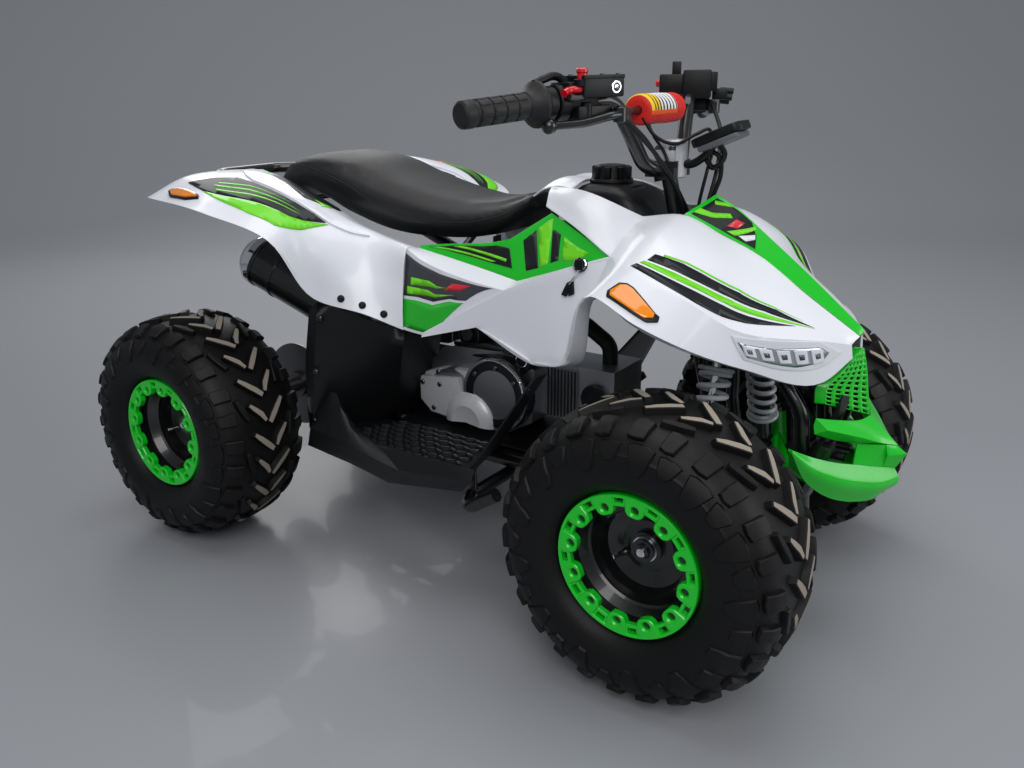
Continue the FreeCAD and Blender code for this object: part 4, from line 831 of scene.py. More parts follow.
def perforated(name, panel, columns, rows, opening, slot, replaced, wall):
    """A panel, on both sides, drawn as cells that each have an opening of a share of their size."""
    maker = Maker(SLOT_MATERIALS[slot])
    wide = (len(panel.rows[0]) - 1) / panel.along
    tall = (len(panel.rows) - 1) / panel.across
    for j in range(rows):
        for i in range(columns):
            corners = ((i, j), (i + 1, j), (i + 1, j + 1), (i, j + 1))
            outer = [panel.at(u / columns * wide, v / rows * tall) for u, v in corners]
            middle = sum(outer, Vector()) / 4
            inner = [middle.lerp(point, opening) for point in outer]
            maker.add(outer + inner, [(k, (k + 1) % 4, (k + 1) % 4 + 4, k + 4) for k in range(4)])
    bmesh.ops.remove_doubles(maker.mesh, verts=maker.mesh.verts[:], dist=0.0002)
    face_outward(maker.mesh, panel.outward)
    maker.mirror()
    walled(maker.piece(name, "chassis", slot, replaced, recalculate=False), wall)


grille_ridge = row_of((622, 0, 430), (629, 0, 400), (634, 0, 366), (639, 0, 334))
grille_side = row_of((618, -6, 428), (604, -32, 398), (589, -52, 378), (589, -53, 356))
grille_back = row_of((606, -2, 430), (590, -34, 400), (576, -56, 380), (576, -57, 356))
grille_face = Panel([grille_side, grille_ridge], (1, -0.5, 0))
perforated("grille_mesh", grille_face, 12, 5, 0.62, "green_plastic", ["grille"], wall=4)
moulded("grille_edge", [Panel([grille_back, grille_side], (0.3, -1, 0))], "green_plastic")
inside = [point - move(14, 0, 0) for point in grille_ridge]
moulded("grille_backing", [Panel([grille_back, inside], (1, -0.5, 0))], "black_plastic", wall=2)

top_edge = row_of((592, -102, 351), (612, -66, 341), (633, -28, 334), (640, 0, 334))
ridge_edge = row_of((608, -99, 336), (640, -54, 318), (668, -14, 301), (680, 0, 297))
under_edge = row_of((592, -103, 328), (612, -68, 312), (636, -34, 302), (660, 0, 296))
end_top = row_of((592, -102, 351), (608, -99, 336))
end_low = row_of((590, -103, 340), (592, -103, 328))
strut_top = row_of((634, -38, 301), (666, -14, 299), (678, 0, 297))
strut_low = row_of((634, -46, 273), (665, -14, 265), (679, 0, 263))
low_top = row_of(
    (572, -129, 309), (591, -100, 293), (618, -70, 280), (636, -45, 273), (665, -14, 265), (679, 0, 263))
low_bottom = row_of(
    (573, -131, 304), (588, -105, 256), (610, -80, 231), (638, -45, 217), (658, -22, 217), (668, 0, 222))
low_middle = moved_row(
    between(low_top, low_bottom, [0] * 6, 0.42),
    (1, -1, 0), (7, -5, 1), (10, -6, 1), (12, -6, 0), (11, -4, 0), (12, 0, 0))
low_back = moved_row(
    low_bottom, (-6, 3, 2), (-24, 10, 6), (-28, 12, 6), (-30, 8, 5), (-30, 4, 4), (-30, 0, 4))
shelf_back = moved_row(
    low_top, (-6, 4, 0), (-20, 8, -2), (-26, 8, -3), (-28, 6, -3), (-34, 2, -3), (-36, 0, -3))
keel_middle = row_of((678, 0, 297), (693, 0, 287), (680, 0, 263))
keel_side = row_of((667, -13, 299), (671, -16, 284), (666, -13, 265))
moulded("bumper_upper", [
    Panel([top_edge, ridge_edge], (0.6, -0.2, 1)), Panel([ridge_edge, under_edge], (0.5, -0.2, -1)),
    Panel([end_top, end_low], (0.2, -1, 0))], "green_plastic", ["bumper"], wall=3.5)
moulded("bumper_lower", [
    Panel([low_top, low_middle, low_bottom], (1, -0.6, -0.2)), Panel([low_bottom, low_back], (0, 0, -1)),
    Panel([shelf_back, low_top], (0, 0, 1))], "green_plastic", wall=3.5)
moulded("bumper_middle", [
    Panel([strut_top, strut_low], (1, -0.5, 0)), Panel([keel_middle, keel_side], (1, -0.8, 0), (1,))],
    "green_plastic", wall=3.5)


def indicator(name, panel, outline, height):
    """A raised amber lens with a dark rim round it, on a panel."""
    printed(
        name + "_rim", panel, [outline], BLACK, "lamp_amber", lift=height * 0.55, wall=height, bevel=0.8)
    u = sum(place[0] for place in outline) / len(outline)
    v = sum(place[1] for place in outline) / len(outline)
    inner = [(u + (a - u) * 0.86, v + (b - v) * 0.8) for a, b in outline]
    printed(
        name + "_lens", panel, [inner], AMBER, "lamp_amber", lift=height, wall=height, bevel=1.6,
        replaced=[name.replace("indicator_", "") + "_indicators"])


indicator("indicator_front", face, (
    (4.22, 0.44), (4.32, 0.36), (4.44, 0.36), (5.06, 0.60), (5.10, 0.72), (5.04, 0.84), (4.92, 0.84),
    (4.28, 0.86), (4.20, 0.74)), 5)
indicator("indicator_rear", rear_skin, (
    (0.20, 2.66), (0.34, 2.52), (0.56, 2.48), (0.78, 2.52), (0.80, 2.62), (0.62, 2.78), (0.34, 2.82)), 7)

LAMP_GREY = material("lamp_reflector", linear(178, 184, 194), 0.15, metallic=0.7, mottling=0.04)
LAMP_WHITE = material("lamp_frame", linear(226, 229, 236), 0.12, coat=1.0, mottling=0.03)
LAMP_DARK = material("lamp_shade", linear(96, 100, 108), 0.2, metallic=0.4, mottling=0.04)
printed("headlamp_rim", face, [(
    (5.93, 0.18), (6.3, 0.07), (6.96, 0.02), (7.28, 0.16), (7.62, 0.36), (7.20, 0.56), (6.78, 0.66),
    (6.40, 0.72),
    (6.03, 0.72))], LAMP_WHITE, "lamp_clear", lift=1.2, wall=6, bevel=0.8, replaced=["headlamps"])
printed("headlamp_bed", face, [(
    (6.00, 0.30), (6.96, 0.14), (7.20, 0.28), (6.98, 0.48), (6.66, 0.60), (6.08, 0.64))],
    LAMP_GREY, "lamp_clear", lift=1.8, wall=2)
# The lamp's cells and their shades: places from a cell's start, each with its share of the cell's slant
CELL = ((0, 0.34, 1), (0.15, 0.31, 1), (0.16, 0.57, 0.8), (0.02, 0.61, 0.8))
SHADE = ((0.045, 0.42, 1), (0.11, 0.40, 1), (0.115, 0.50, 0.9), (0.055, 0.52, 0.9))
for index in range(5):
    start = 6.04 + index * 0.20
    slant = 0.155 * (start - 6)
    cell, shade = ([(start + u, v - slant * share) for u, v, share in shape] for shape in (CELL, SHADE))
    printed("headlamp_cell_%d" % index, face, [cell], LAMP_WHITE, "lamp_clear", lift=4, wall=3, bevel=1)
    printed("headlamp_shade_%d" % index, face, [shade], LAMP_DARK, "lamp_clear", lift=4.6, wall=1)

printed("fender_rib", rear_skin, [(
    (0.95, 0.62), (1.82, 1.18), (2.40, 1.28), (3.05, 1.24), (3.60, 1.20), (3.95, 1.22), (3.50, 1.36),
    (3.02, 1.42), (2.35, 1.46), (1.80, 1.46), (1.22, 1.42), (0.62, 1.02), (0.20, 0.40), (0.45, 0.22),
)], WHITE, "white_plastic", lift=3.5, wall=4, bevel=1)
printed("tail_print_black", rear_skin, [
    (
        (0.98, 0.56), (1.84, 1.10), (2.02, 0.90), (2.20, 0.50), (1.90, 0.02), (1.10, 0.02), (0.80, 0.02),
        (0.70, 0.34)),
], BLACK_FILM, "black_plastic")
printed("tail_print_lime", rear_skin, [
    ((0.10, 0.05), (0.44, 0.05), (0.62, 0.30), (0.40, 0.16)),
    ((1.86, 0.86), (2.05, 0.62), (2.25, 0.80), (2.10, 1.05)),
], LIME, "green_plastic", lift=0.8)

def add_fender_bolts():
    """Three domed bolts with a socket on each rear fender."""
    bolts = Maker(BLACK)
    for column, row in ((3.55, 2.80), (3.95, 2.80), (4.50, 2.80)):
        root, tip = rear_skin.at(column, row, -1 * MM), rear_skin.at(column, row, 4 * MM)
        for start, end in ((root, tip), (flipped(root), flipped(tip))):
            bolts.lathe(start, end - start, (
                (0, TIP), (0, 6.2), (2.5, 6.2), (4.2, 4.8), (5, 2.6), (4.2, 1.8),
                (4.2, TIP)), 20, closed=False)
    bolts.piece("fender_bolts", "chassis", "black_plastic")


def add_key():
    """The key lock on the right-hand side, with two keys on a ring."""
    key = Maker(BLACK, CHROME)
    lock, axis = mm(274, -187, 543), Vector((0.25, -1, 0.35)).normalized()
    key.lathe(lock, axis, ((-4, TIP), (-4, 10.5), (6, 10.5), (7, 9.5), (7, TIP)), 28, closed=False)
    key.lathe(lock, axis, ((6, 7.8), (8.5, 7.8), (9, 8.3), (8.5, 9.8), (6, 9.8)), 28, look=1)
    bow = lock + axis * (12 * MM)
    key.block(bow - move(6, 1.6, 9), bow + move(6, 1.6, 6), 0, 1)
    ring = [
        bow + move(0, 0, -8), *row_of((268, -198, 524), (262, -200, 516), (266, -197, 524)),
        bow + move(2, 0, -8)]
    key.hose(ring, 0.9, 1, 6, 8)
    for blade in (
        ((265, -199, 522), (258, -200, 518), (250, -202, 500), (258, -202, 498)),
        ((267, -199, 521), (262, -200, 519), (262, -202, 499), (270, -202, 503)),
    ):
        key.plate(row_of(*blade), move(1, 3, 0), 0, 0.6)
    key.piece("key_lock", "chassis", "black_plastic")


add_fender_bolts()
add_key()

# Handlebar controls

GRIP_START, GRIP_END = mm(243, -250, 766), mm(203, -372, 756)
GRIP_AXIS = (GRIP_END - GRIP_START).normalized()
BAR_AXIS = (mm(290, -128, 768) - GRIP_START).normalized()
BAR_FORWARD = Vector((BAR_AXIS.y, -BAR_AXIS.x, 0)).normalized()
LEFT_START, LEFT_AXIS, LEFT_FORWARD = flipped(GRIP_START), flipped(BAR_AXIS), flipped(BAR_FORWARD)


def by_bar(point, along=0, forward=0, up=0):
    """A point moved by millimetres along the right-hand bar towards its middle, forward and up."""
    return point + (BAR_AXIS * along + BAR_FORWARD * forward + UP * up) * MM


def by_left_bar(point, along=0, forward=0, up=0):
    """A point moved by millimetres along the left-hand bar towards its middle, forward and up."""
    return point + (LEFT_AXIS * along + LEFT_FORWARD * forward + UP * up) * MM


def turned_block(maker, centre, forward, half, bevel):
    """A block about a centre, turned to a direction; half sizes and bevel in millimetres."""
    aside = UP.cross(forward).normalized()
    up = forward.cross(aside)
    outline = [
        centre + (forward * (half[0] * i) + aside * (half[1] * j) - up * half[2]) * MM
        for i, j in ((-1, -1), (1, -1), (1, 1), (-1, 1))]
    maker.plate(outline, up * (2 * half[2] * MM), 0, bevel)


def add_grips():
    """The grips with their flanges, bands and raised pads."""
    grip = Maker(RUBBER_GRIP)
    profile = [
        (4, 11.6), (4, 29.4), (6, 31), (9.5, 30.4), (14, 26.2), (18, 22), (23, 19.2), (26, 18.3),
        (27, 16.8)]
    for rib in range(4):
        begin = 28.5 + rib * 20
        profile += [(begin, 16), (begin + 0.8, 17.2), (begin + 18.2, 17.2), (begin + 19, 16)]
    profile += [
        (111, 15.4), (112, 17.4), (113.5, 18.2), (124, 18.2), (128, 17.6), (130.5, 15), (131.2, TIP)]
    grip.lathe(GRIP_START, GRIP_AXIS, profile, 48, closed=False)
    side = GRIP_AXIS.orthogonal().normalized()
    other = GRIP_AXIS.cross(side)
    for turn in range(10):
        out = spoke(side, other, turn, 10)
        half = GRIP_AXIS.cross(out) * (3 * MM)
        for rib in range(4):
            base = GRIP_START + GRIP_AXIS * ((31.5 + rib * 20) * MM) + out * (16.4 * MM)
            end = base + GRIP_AXIS * (14.5 * MM)
            grip.plate([base - half, base + half, end + half, end - half], out * (1.4 * MM), 0, 0.4)
    grip.mirror()
    grip.piece("grip_ribs", "steering", "grip_rubber", ["grips"])


def add_throttle_pod():
    """The right-hand housing with its clamps, reservoir, dial, cable, stop button and thumb lever."""
    throttle = Maker(BLACK, CHROME, RED, STEEL)
    throttle.lathe(by_bar(GRIP_START, 2), BAR_AXIS, (
        (0, 11.5), (0, 21.5), (1.5, 23), (13, 23), (14.5, 21.5), (14.5, 19), (17, 19), (17, 23.5),
        (18.5, 25), (34, 25), (36, 23.5), (36, 11.5)), 40)
    reservoir = mm(286, -182, 786)
    turned_block(throttle, by_bar(GRIP_START, 55, 4, 10), BAR_AXIS, (26, 21, 17), 4)
    turned_block(throttle, reservoir, BAR_AXIS, (35, 22, 13), 3)
    turned_block(throttle, reservoir + UP * (13.5 * MM), BAR_AXIS, (35.4, 22.4, 2.6), 1.2)
    for along, aside in ((-28, -16), (28, 16), (-28, 16), (28, -16)):
        throttle.lathe(by_bar(reservoir, along, aside, 16.5), UP, (
            (-1, TIP), (-1, 3.2), (1.2, 3.2), (1.8, 2.2), (1, TIP)), 14, 3, False)
    dial = by_bar(reservoir, 20, 21.5)
    throttle.lathe(dial, BAR_FORWARD, (
        (-2, 8.4), (1.2, 8.4), (1.8, 7.8), (1.8, 6), (0.6, 5.4), (-2, 5.4)), 32, 1)
    throttle.lathe(dial, BAR_FORWARD, ((-2, TIP), (-2, 3.6), (1.6, 3.4), (2, TIP)), 20, 1, False)
    perch = by_bar(GRIP_START, 70, 18, -14)
    turned_block(throttle, perch, BAR_AXIS, (30, 14, 10), 4)
    throttle.lathe(by_bar(perch, -12, 8, -13), UP, (
        (0, TIP), (0, 7.5), (26, 7.5), (28, 6), (28, TIP)), 20, 0, False)
    throttle.hose([
        by_bar(GRIP_START, 44, 4, 24), by_bar(GRIP_START, 30, -2, 34), by_bar(GRIP_START, 4, 0, 31),
        by_bar(GRIP_START, -10, 0, 26)], 5.5, 0, 8, 12)
    kill = mm(286, -215, 800)
    throttle.lathe(kill, UP, (
        (-10, TIP), (-10, 6.6), (4, 6.6), (6, 8), (9.5, 7.8), (11, 6), (11, TIP)), 24, 2, False)
    throttle.lathe(kill - UP * (12 * MM), UP, (
        (0, TIP), (0, 10.5), (8, 10.5), (9, 9), (9, TIP)), 24, 0, False)
    lever = mm(276, -228, 783)
    throttle.hose([
        lever + move(16, 22, 2), lever + move(10, 10, 1), lever, lever - move(2, 13, 4)], 5.2, 2, 8, 12)
    throttle.hose([
        lever + move(14, 14, -8), lever + move(10, 0, -10), lever + move(6, -12, -8)], 4.2, 3, 6, 10)
    throttle.piece("throttle_pod", "steering", "black_plastic", ["throttle_housing"])


def add_switch_pod():
    """The left-hand housing with its ribbed front, choke, knob and three cable ends."""
    switch = Maker(BLACK, CHROME, RED, STEEL)
    switch.lathe(by_left_bar(LEFT_START, 2), LEFT_AXIS, (
        (0, 11.5), (0, 21), (1.5, 22.5), (30, 22.5), (32, 21), (32, 11.5)), 40)
    box = mm(288, 166, 786)
    turned_block(switch, box, LEFT_AXIS, (38, 22, 22), 3)
    turned_block(switch, by_left_bar(box, 4, 22, 4), LEFT_AXIS, (20, 7, 15), 2)
    for rib in range(5):
        turned_block(switch, by_left_bar(box, rib * 8.5 - 14, 28.5, 3), LEFT_AXIS, (1.7, 3, 15.5), 0.6)
    choke = by_left_bar(box, 6, -40)
    turned_block(switch, choke, LEFT_AXIS, (22, 20, 16), 3)
    turned_block(switch, by_left_bar(choke, 0, 6, 24), LEFT_AXIS, (7, 7, 12), 1.5)
    switch.lathe(by_left_bar(choke, 0, -20, 2), -LEFT_FORWARD, (
        (-4, TIP), (-4, 6.2), (4, 6.2), (6.5, 5), (7, TIP)), 24, 2, False)
    knob = by_left_bar(box, -10, 36, -16)
    turned_block(switch, knob, LEFT_AXIS, (16, 12, 9), 3)
    for along, high, reach in ((-10, 6, 22), (6, -4, 20), (-12, -10, 16)):
        start = by_left_bar(knob, along, 0, high)
        switch.bar(start, by_left_bar(start, 0, reach, -2), 5.2, 20, 0, chamfer=1)
    turned_block(switch, by_left_bar(LEFT_START, 70, 18, -14), LEFT_AXIS, (30, 14, 10), 4)
    switch.piece("switch_pod", "steering", "black_plastic", ["switch_housing"])


def add_levers():
    """The brake levers: flattened blades with a ball at the end and a pivot bolt."""
    levers = Maker(STEEL_BLACK, STEEL)
    blade = row_of(
        (318, -166, 750), (312, -184, 749), (304, -196, 746), (290, -216, 741), (274, -240, 739),
        (262, -257, 738))
    line = curve_through(blade, 8)
    last = len(line) - 1
    rows = []
    for index, point in enumerate(line):
        share = index / last
        ahead = (line[min(index + 1, last)] - line[max(index - 1, 0)]).normalized()
        out = ahead.cross(UP).normalized() * ((8.2 - 2.6 * share) * MM)
        tall = UP * ((6.4 - 0.6 * share) * MM)
        angles = [2 * math.pi * k / 14 for k in range(14)]
        rows.append([point + out * math.cos(angle) + tall * math.sin(angle) for angle in angles])
    levers.grid(rows, 0, closed_along=True)
    ball = 10.5
    half_turn = [math.pi * k / 12 for k in range(13)]
    levers.lathe(blade[-1] - UP * (ball * MM), UP, [
        (ball - ball * math.cos(angle), max(ball * math.sin(angle), TIP)) for angle in half_turn],
        24, closed=False)
    levers.lathe(blade[0] - move(0, 0, 10), UP, (
        (0, TIP), (0, 8.5), (1, 9.5), (19, 9.5), (20, 8.5), (20, TIP)), 24, closed=False)
    levers.lathe(blade[0] + move(0, 0, 9), UP, ((0, TIP), (0, 5.5), (3, 5.5), (3.5, TIP)), 6, 1, False)
    levers.mirror()
    levers.piece("lever_blades", "steering", "black_steel", ["brake_levers"])


add_grips()
add_throttle_pod()
add_switch_pod()
add_levers()

# Padded sleeve on the cross tube

PAD_LOOKS = [
    material("pad_" + name, linear(*colour), rough, grain=grain, grain_scale=900, mottling=0.05)
    for name, colour, rough, grain in (
        ("red", (222, 34, 26), 0.5, 0.25), ("orange", (240, 92, 16), 0.5, 0.25),
        ("yellow", (250, 206, 24), 0.6, 0.2),
        ("white", (238, 238, 236), 0.6, 0.2), ("black", (22, 22, 24), 0.6, 0.2))]
PAD_X, PAD_Z, PAD_SIZE = 293, 752, 23.2
PAD_HALF, PAD_SIDES = 61, 48
PAD_LINES = (-50, -41, -31, -21, -10, 1, 12, 23)


def pad_look(y, height):
    """The print of the pad's cover: ringed above, orange and red below, red at the ends."""
    if height < -0.30 or abs(y) > 59 or y > 26:
        return 0
    if height < 0.05:
        return 1
    if min(abs(y - line) for line in PAD_LINES) < 2.2:
        return 4
    return 2 if y < -31 else 3


def add_pad():
    """The stuffed sleeve with creases, rounded ends and its printed bands."""
    pad = Maker(*PAD_LOOKS)
    rows = []
    for step in range(2 * PAD_HALF + 1):
        y = step - PAD_HALF
        edge = min((PAD_HALF - abs(y)) / 5, 1)
        swell = 0.62 + 0.38 * math.sqrt(max(1 - (1 - edge) ** 2, 0))
        row = []
        for k in range(PAD_SIDES):
            angle = 2 * math.pi * k / PAD_SIDES
            crease = 0.25 * math.sin(5 * angle + y * 0.09) * edge + 0.18 * math.sin(y * 0.6 + 2 * angle)
            low = -1.6 * max(-math.sin(angle), 0) ** 6
            radius = (PAD_SIZE + crease + low) * swell
            row.append(mm(PAD_X + radius * math.cos(angle), y, PAD_Z + radius * math.sin(angle)))
        rows.append(row)
    pad.grid(rows, 0, closed_along=True)
    for face in pad.mesh.faces:
        middle = face.calc_center_median()
        face.material_index = pad_look(middle.y * 1000, (middle.z * 1000 - PAD_Z) / PAD_SIZE)
    for y in (-PAD_HALF, PAD_HALF):
        pad.lathe(mm(PAD_X, y, PAD_Z), -RIGHT, ((0, 6.6), (0, PAD_SIZE * 0.62 + 0.3)), PAD_SIDES, 0, False)
    bmesh.ops.remove_doubles(pad.mesh, verts=pad.mesh.verts[:], dist=0.2 * MM)
    sleeve = pad.piece("bar_pad_cover", "steering", "pad_red", ["bar_pad"], sharp=60)


add_pad()

# Instrument, clamp and control cables


def add_instrument():
    """The display's rounded case on its bent stalk, with its wire."""
    gauge_back = material("gauge_back", linear(96, 98, 102), 0.4, grain=0.2, mottling=0.05)
    gauge = Maker(BLACK, GREY_FILM, gauge_back)
    near, far = mm(362, 0, 699), mm(434, 0, 729)
    along = (far - near).normalized()
    upward = Vector((-along.z, 0, along.x))
    outline = [
        near.lerp(far, share) - move(0, half, 0)
        for share, half in ((0, 20), (0.10, 26), (0.55, 29), (0.9, 26), (1, 18))]
    outline += [flipped(point) for point in reversed(outline)]
    gauge.plate([point - upward * (3 * MM) for point in outline], upward * (13 * MM), 0, 3)
    screen = [
        near.lerp(far, share) + move(0, half, 0) + upward * (9.6 * MM)
        for share, half in ((0.22, -19), (0.84, -20), (0.84, 20), (0.22, 19))]
    gauge.plate(screen, upward * (1.2 * MM), 1, 0.6)
    back = [point - upward * (12 * MM) for point in outline[1:4]]
    gauge.plate(back + [flipped(point) for point in reversed(back)], upward * (8.5 * MM), 2, 3)
    gauge.hose(row_of((334, 0, 676), (350, 0, 672), (372, 0, 684), (384, 0, 698)), 6.2, 0, 8, 14)
    gauge.hose(row_of(
        (396, 0, 702), (402, 4, 690), (396, 8, 676), (384, 8, 668), (374, 6, 680)), 4.2, 0, 8, 10)
    gauge.piece("instrument", "steering", "black_plastic", ["display"])


def add_clamp():
    """The block that holds the handlebar, with its sleeve and four bolts."""
    clamp = Maker(SATIN, STEEL)
    clamp.block(mm(301, -24, 673), mm(336, 24, 694), 0, 4)
    clamp.bar(mm(326, 0, 652), mm(326, 0, 708), 19, 36, 0, chamfer=2)
    for x in (307, 330):
        for y in (-17, 17):
            clamp.lathe(mm(x, y, 693.5), UP, (
                (0, TIP), (0, 5.2), (5, 5.2), (6, 4.2), (6, 2.4), (3, 2.2), (3, TIP)), 16, 1, False)
    clamp.piece("bar_clamp", "steering", "engine_metal")


CABLES = (
    (3.2, ((300, -170, 760), (318, -140, 735), (336, -90, 694), (347, -48, 650), (352, -24, 612),
           (356, -14, 580))),
    (2.8, ((318, -158, 748), (334, -120, 716), (342, -78, 676), (350, -34, 636), (358, -10, 596),
           (362, -6, 575))),
    (2.6, ((300, -60, 742), (316, -50, 716), (336, -22, 703), (356, 8, 716), (368, 26, 722), (376, 24, 700),
           (374, 12, 664), (366, 6, 612), (364, 4, 580))),
    (3.2, ((312, 158, 760), (336, 128, 742), (362, 90, 712), (376, 52, 690), (382, 30, 664), (378, 16, 622),
           (370, 8, 582))),
    (3.4, ((380, 4, 694), (394, 6, 684), (396, 10, 660), (386, 12, 628), (374, 10, 590))),
    (2.4, ((296, -46, 748), (306, -34, 716), (322, -27, 690), (334, -28, 660), (344, -22, 620),
           (350, -16, 580))),
)


def add_cables():
    """The control cables, each a radius and its route."""
    cables = Maker(BLACK)
    for radius, route in CABLES:
        cables.hose(row_of(*route), radius, 0, 10, 12)
    cables.piece("control_cables", "steering", "black_plastic")


add_instrument()
add_clamp()
add_cables()

# Fuel cap and its cover


def add_fuel_cap():
    """The domed cap with eight grips round it."""
    cap = Maker(BLACK)
    cap_place = mm(222, 0, 638.3)
    cap.lathe(cap_place, UP, (
        (0, TIP), (0, 33.5), (4, 34.5), (7, 33.5), (8, 32.5), (8, 27), (10, 26.5), (24.5, 24.5),
        (28.5, 21.5), (29.6, 15), (29.6, TIP)), 48, closed=False)
    for turn in range(8):
        angle = 2 * math.pi * (turn + 0.3) / 8
        out = Vector((math.cos(angle), math.sin(angle), 0))
        across = Vector((-out.y, out.x, 0))
        base = cap_place + (out * 21 + UP * 8) * MM
        end = base + out * (10.5 * MM)
        near, far = across * (6.2 * MM), across * (4 * MM)
        cap.plate([base - near, base + near, end + far, end - far], UP * (19 * MM), 0, 2.2)
    cap.piece("fuel_knob", "chassis", "black_plastic", ["fuel_cap"])


def add_tank_cover():
    """The moulded cover round the cap."""
    filler = Maker(BLACK)
    low = row_of((176, -40, 616), (184, -62, 614), (236, -66, 610), (300, -58, 590), (318, -34, 582))
    middle = row_of((180, -38, 628), (188, -56, 629), (236, -60, 630), (282, -54, 624), (294, -32, 618))
    high = row_of((188, -32, 636), (198, -44, 638), (232, -48, 639.5), (258, -44, 637), (266, -26, 635))
    crown = [Vector((point.x, 0, point.z + 2 * MM)) for point in high]
    for rows in ([low, middle, high], [high, crown]):
        filler.grid(surface_through(rows, 6, 4), 0)
        filler.grid(surface_through([[flipped(point) for point in row] for row in rows], 6, 4), 0)
    for end in (0, -1):
        ends = [row[end] for row in (low, middle, high)]
        rows = [[point, Vector((point.x, 0, point.z)), flipped(point)] for point in ends]
        filler.grid(surface_through(rows, 4, 4), 0)
    bmesh.ops.remove_doubles(filler.mesh, verts=filler.mesh.verts[:], dist=0.3 * MM)
    walled(filler.piece("tank_cover_skin", "chassis", "black_plastic", ["tank_cover"], sharp=40), 2.5)


add_fuel_cap()
add_tank_cover()
bridge_right = row_of((112, -59, 618), (132, -61, 630), (154, -63, 636), (196, -80, 636))
bridge_crown = row_of((116, 0, 618), (136, 0, 638), (158, 0, 646), (196, 0, 645))
bridge_half = between(bridge_right, bridge_crown, (5, 6, 7, 6))
bridge_left = [flipped(point) for point in bridge_right]
left_half = [flipped(point) for point in bridge_half]
moulded("tank_bridge", [Panel([bridge_right, bridge_half, bridge_crown, left_half, bridge_left], (0, 0, 1))],
        "white_plastic", both=False)

# Saddle: a smaller form swollen by cloth simulation, then its sewn edge

SADDLE = (
    (-472, 54, 591, 602), (-450, 82, 587, 630), (-415, 102, 590, 655), (-355, 115, 596, 667),
    (-262, 121, 568, 660), (-165, 122, 545, 630), (-60, 116, 541, 606), (10, 104, 547, 600),
    (70, 84, 565, 610), (104, 57, 597, 626))
SADDLE_SIDES = 56
SADDLE_VOXEL = 0.006
# The cloth may move a point of the saddle this far, in metres
SADDLE_CAP = 0.0045


def saddle_section(x, half, low, high):
    """One cross-section of the saddle: a flat base, tucked sides and a crowned top."""
    row = []
    waist = low + (high - low) * 0.56
    for k in range(SADDLE_SIDES):
        angle = 2 * math.pi * k / SADDLE_SIDES
        c, s = math.cos(angle), math.sin(angle)
        if s >= 0:
            wide = math.copysign(abs(c) ** 0.62, c)
            up = waist + (high - waist) * abs(s) ** 0.86
        else:
            tuck = 1 - 0.13 * abs(s) ** 1.2
            wide = math.copysign(abs(c) ** 0.45, c) * tuck
            up = waist - (waist - low) * abs(s) ** 0.6
        row.append(mm(x, half * wide, up))
    return row


def evaluated_mesh(thing):
    """The mesh of a piece with its modifiers worked in."""
    graph = bpy.context.evaluated_depsgraph_get()
    return bpy.data.meshes.new_from_object(thing.evaluated_get(graph))


def padded_form(thing, voxel, cap, pressure=4.0):
    """Swells a closed piece like a stuffed cover, with each point moving no farther than the cap."""
    even = thing.modifiers.new("even", "REMESH")
    even.mode = "VOXEL"
    even.voxel_size = voxel
    mesh = evaluated_mesh(thing)
    thing.modifiers.clear()
    thing.data = mesh
    cloth = thing.modifiers.new("stuffing", "CLOTH")
    cloth.settings.use_pressure = True
    cloth.settings.uniform_pressure_force = pressure
    cloth.settings.effector_weights.gravity = 0
    cloth.settings.quality = 5
    for frame_number in range(1, 21):
        bpy.context.scene.frame_set(frame_number)
    blown = evaluated_mesh(thing)
    thing.modifiers.clear()
    for vert, before in zip(blown.vertices, mesh.vertices):
        shift = vert.co - before.co
        if shift.length > cap:
            vert.co = before.co + shift * (cap / shift.length)
    thing.data = blown
    bpy.context.scene.frame_set(1)
    for face in thing.data.polygons:
        face.use_smooth = True
    smooth = thing.modifiers.new("fine", "SUBSURF")
    smooth.levels = 1
    smooth.render_levels = 1


def add_saddle():
    """The stuffed saddle."""
    saddle = Maker(VINYL)
    sides_line = curve_through([Vector((x, half, low)) for x, half, low, high in SADDLE], 6)
    tops_line = curve_through([Vector((x, 0, high)) for x, half, low, high in SADDLE], 6)
    rows = [saddle_section(side.x, side.y, side.z, top.z) for side, top in zip(sides_line, tops_line)]
    for end in (0, -1):
        middle = sum(rows[end], Vector()) / SADDLE_SIDES
        fan = [(0, k + 1, (k + 1) % SADDLE_SIDES + 1) for k in range(SADDLE_SIDES)]
        saddle.add([middle] + rows[end], fan)
    saddle.grid(rows, 0, closed_along=True)
    bmesh.ops.remove_doubles(saddle.mesh, verts=saddle.mesh.verts[:], dist=0.1 * MM)
    cover = saddle.piece("saddle", "chassis", "seat_vinyl", ["seat"], sharp=180)
    padded_form(cover, SADDLE_VOXEL, SADDLE_CAP)
    return cover


SEAM_GUIDE = row_of(
    (-449, -70, 628), (-415, -88, 650), (-362, -103, 652), (-300, -112, 640), (-240, -116, 622),
    (-180, -119, 596), (-120, -118, 577), (-50, -114, 570), (12, -102, 572), (66, -84, 586), (98, -58, 606))


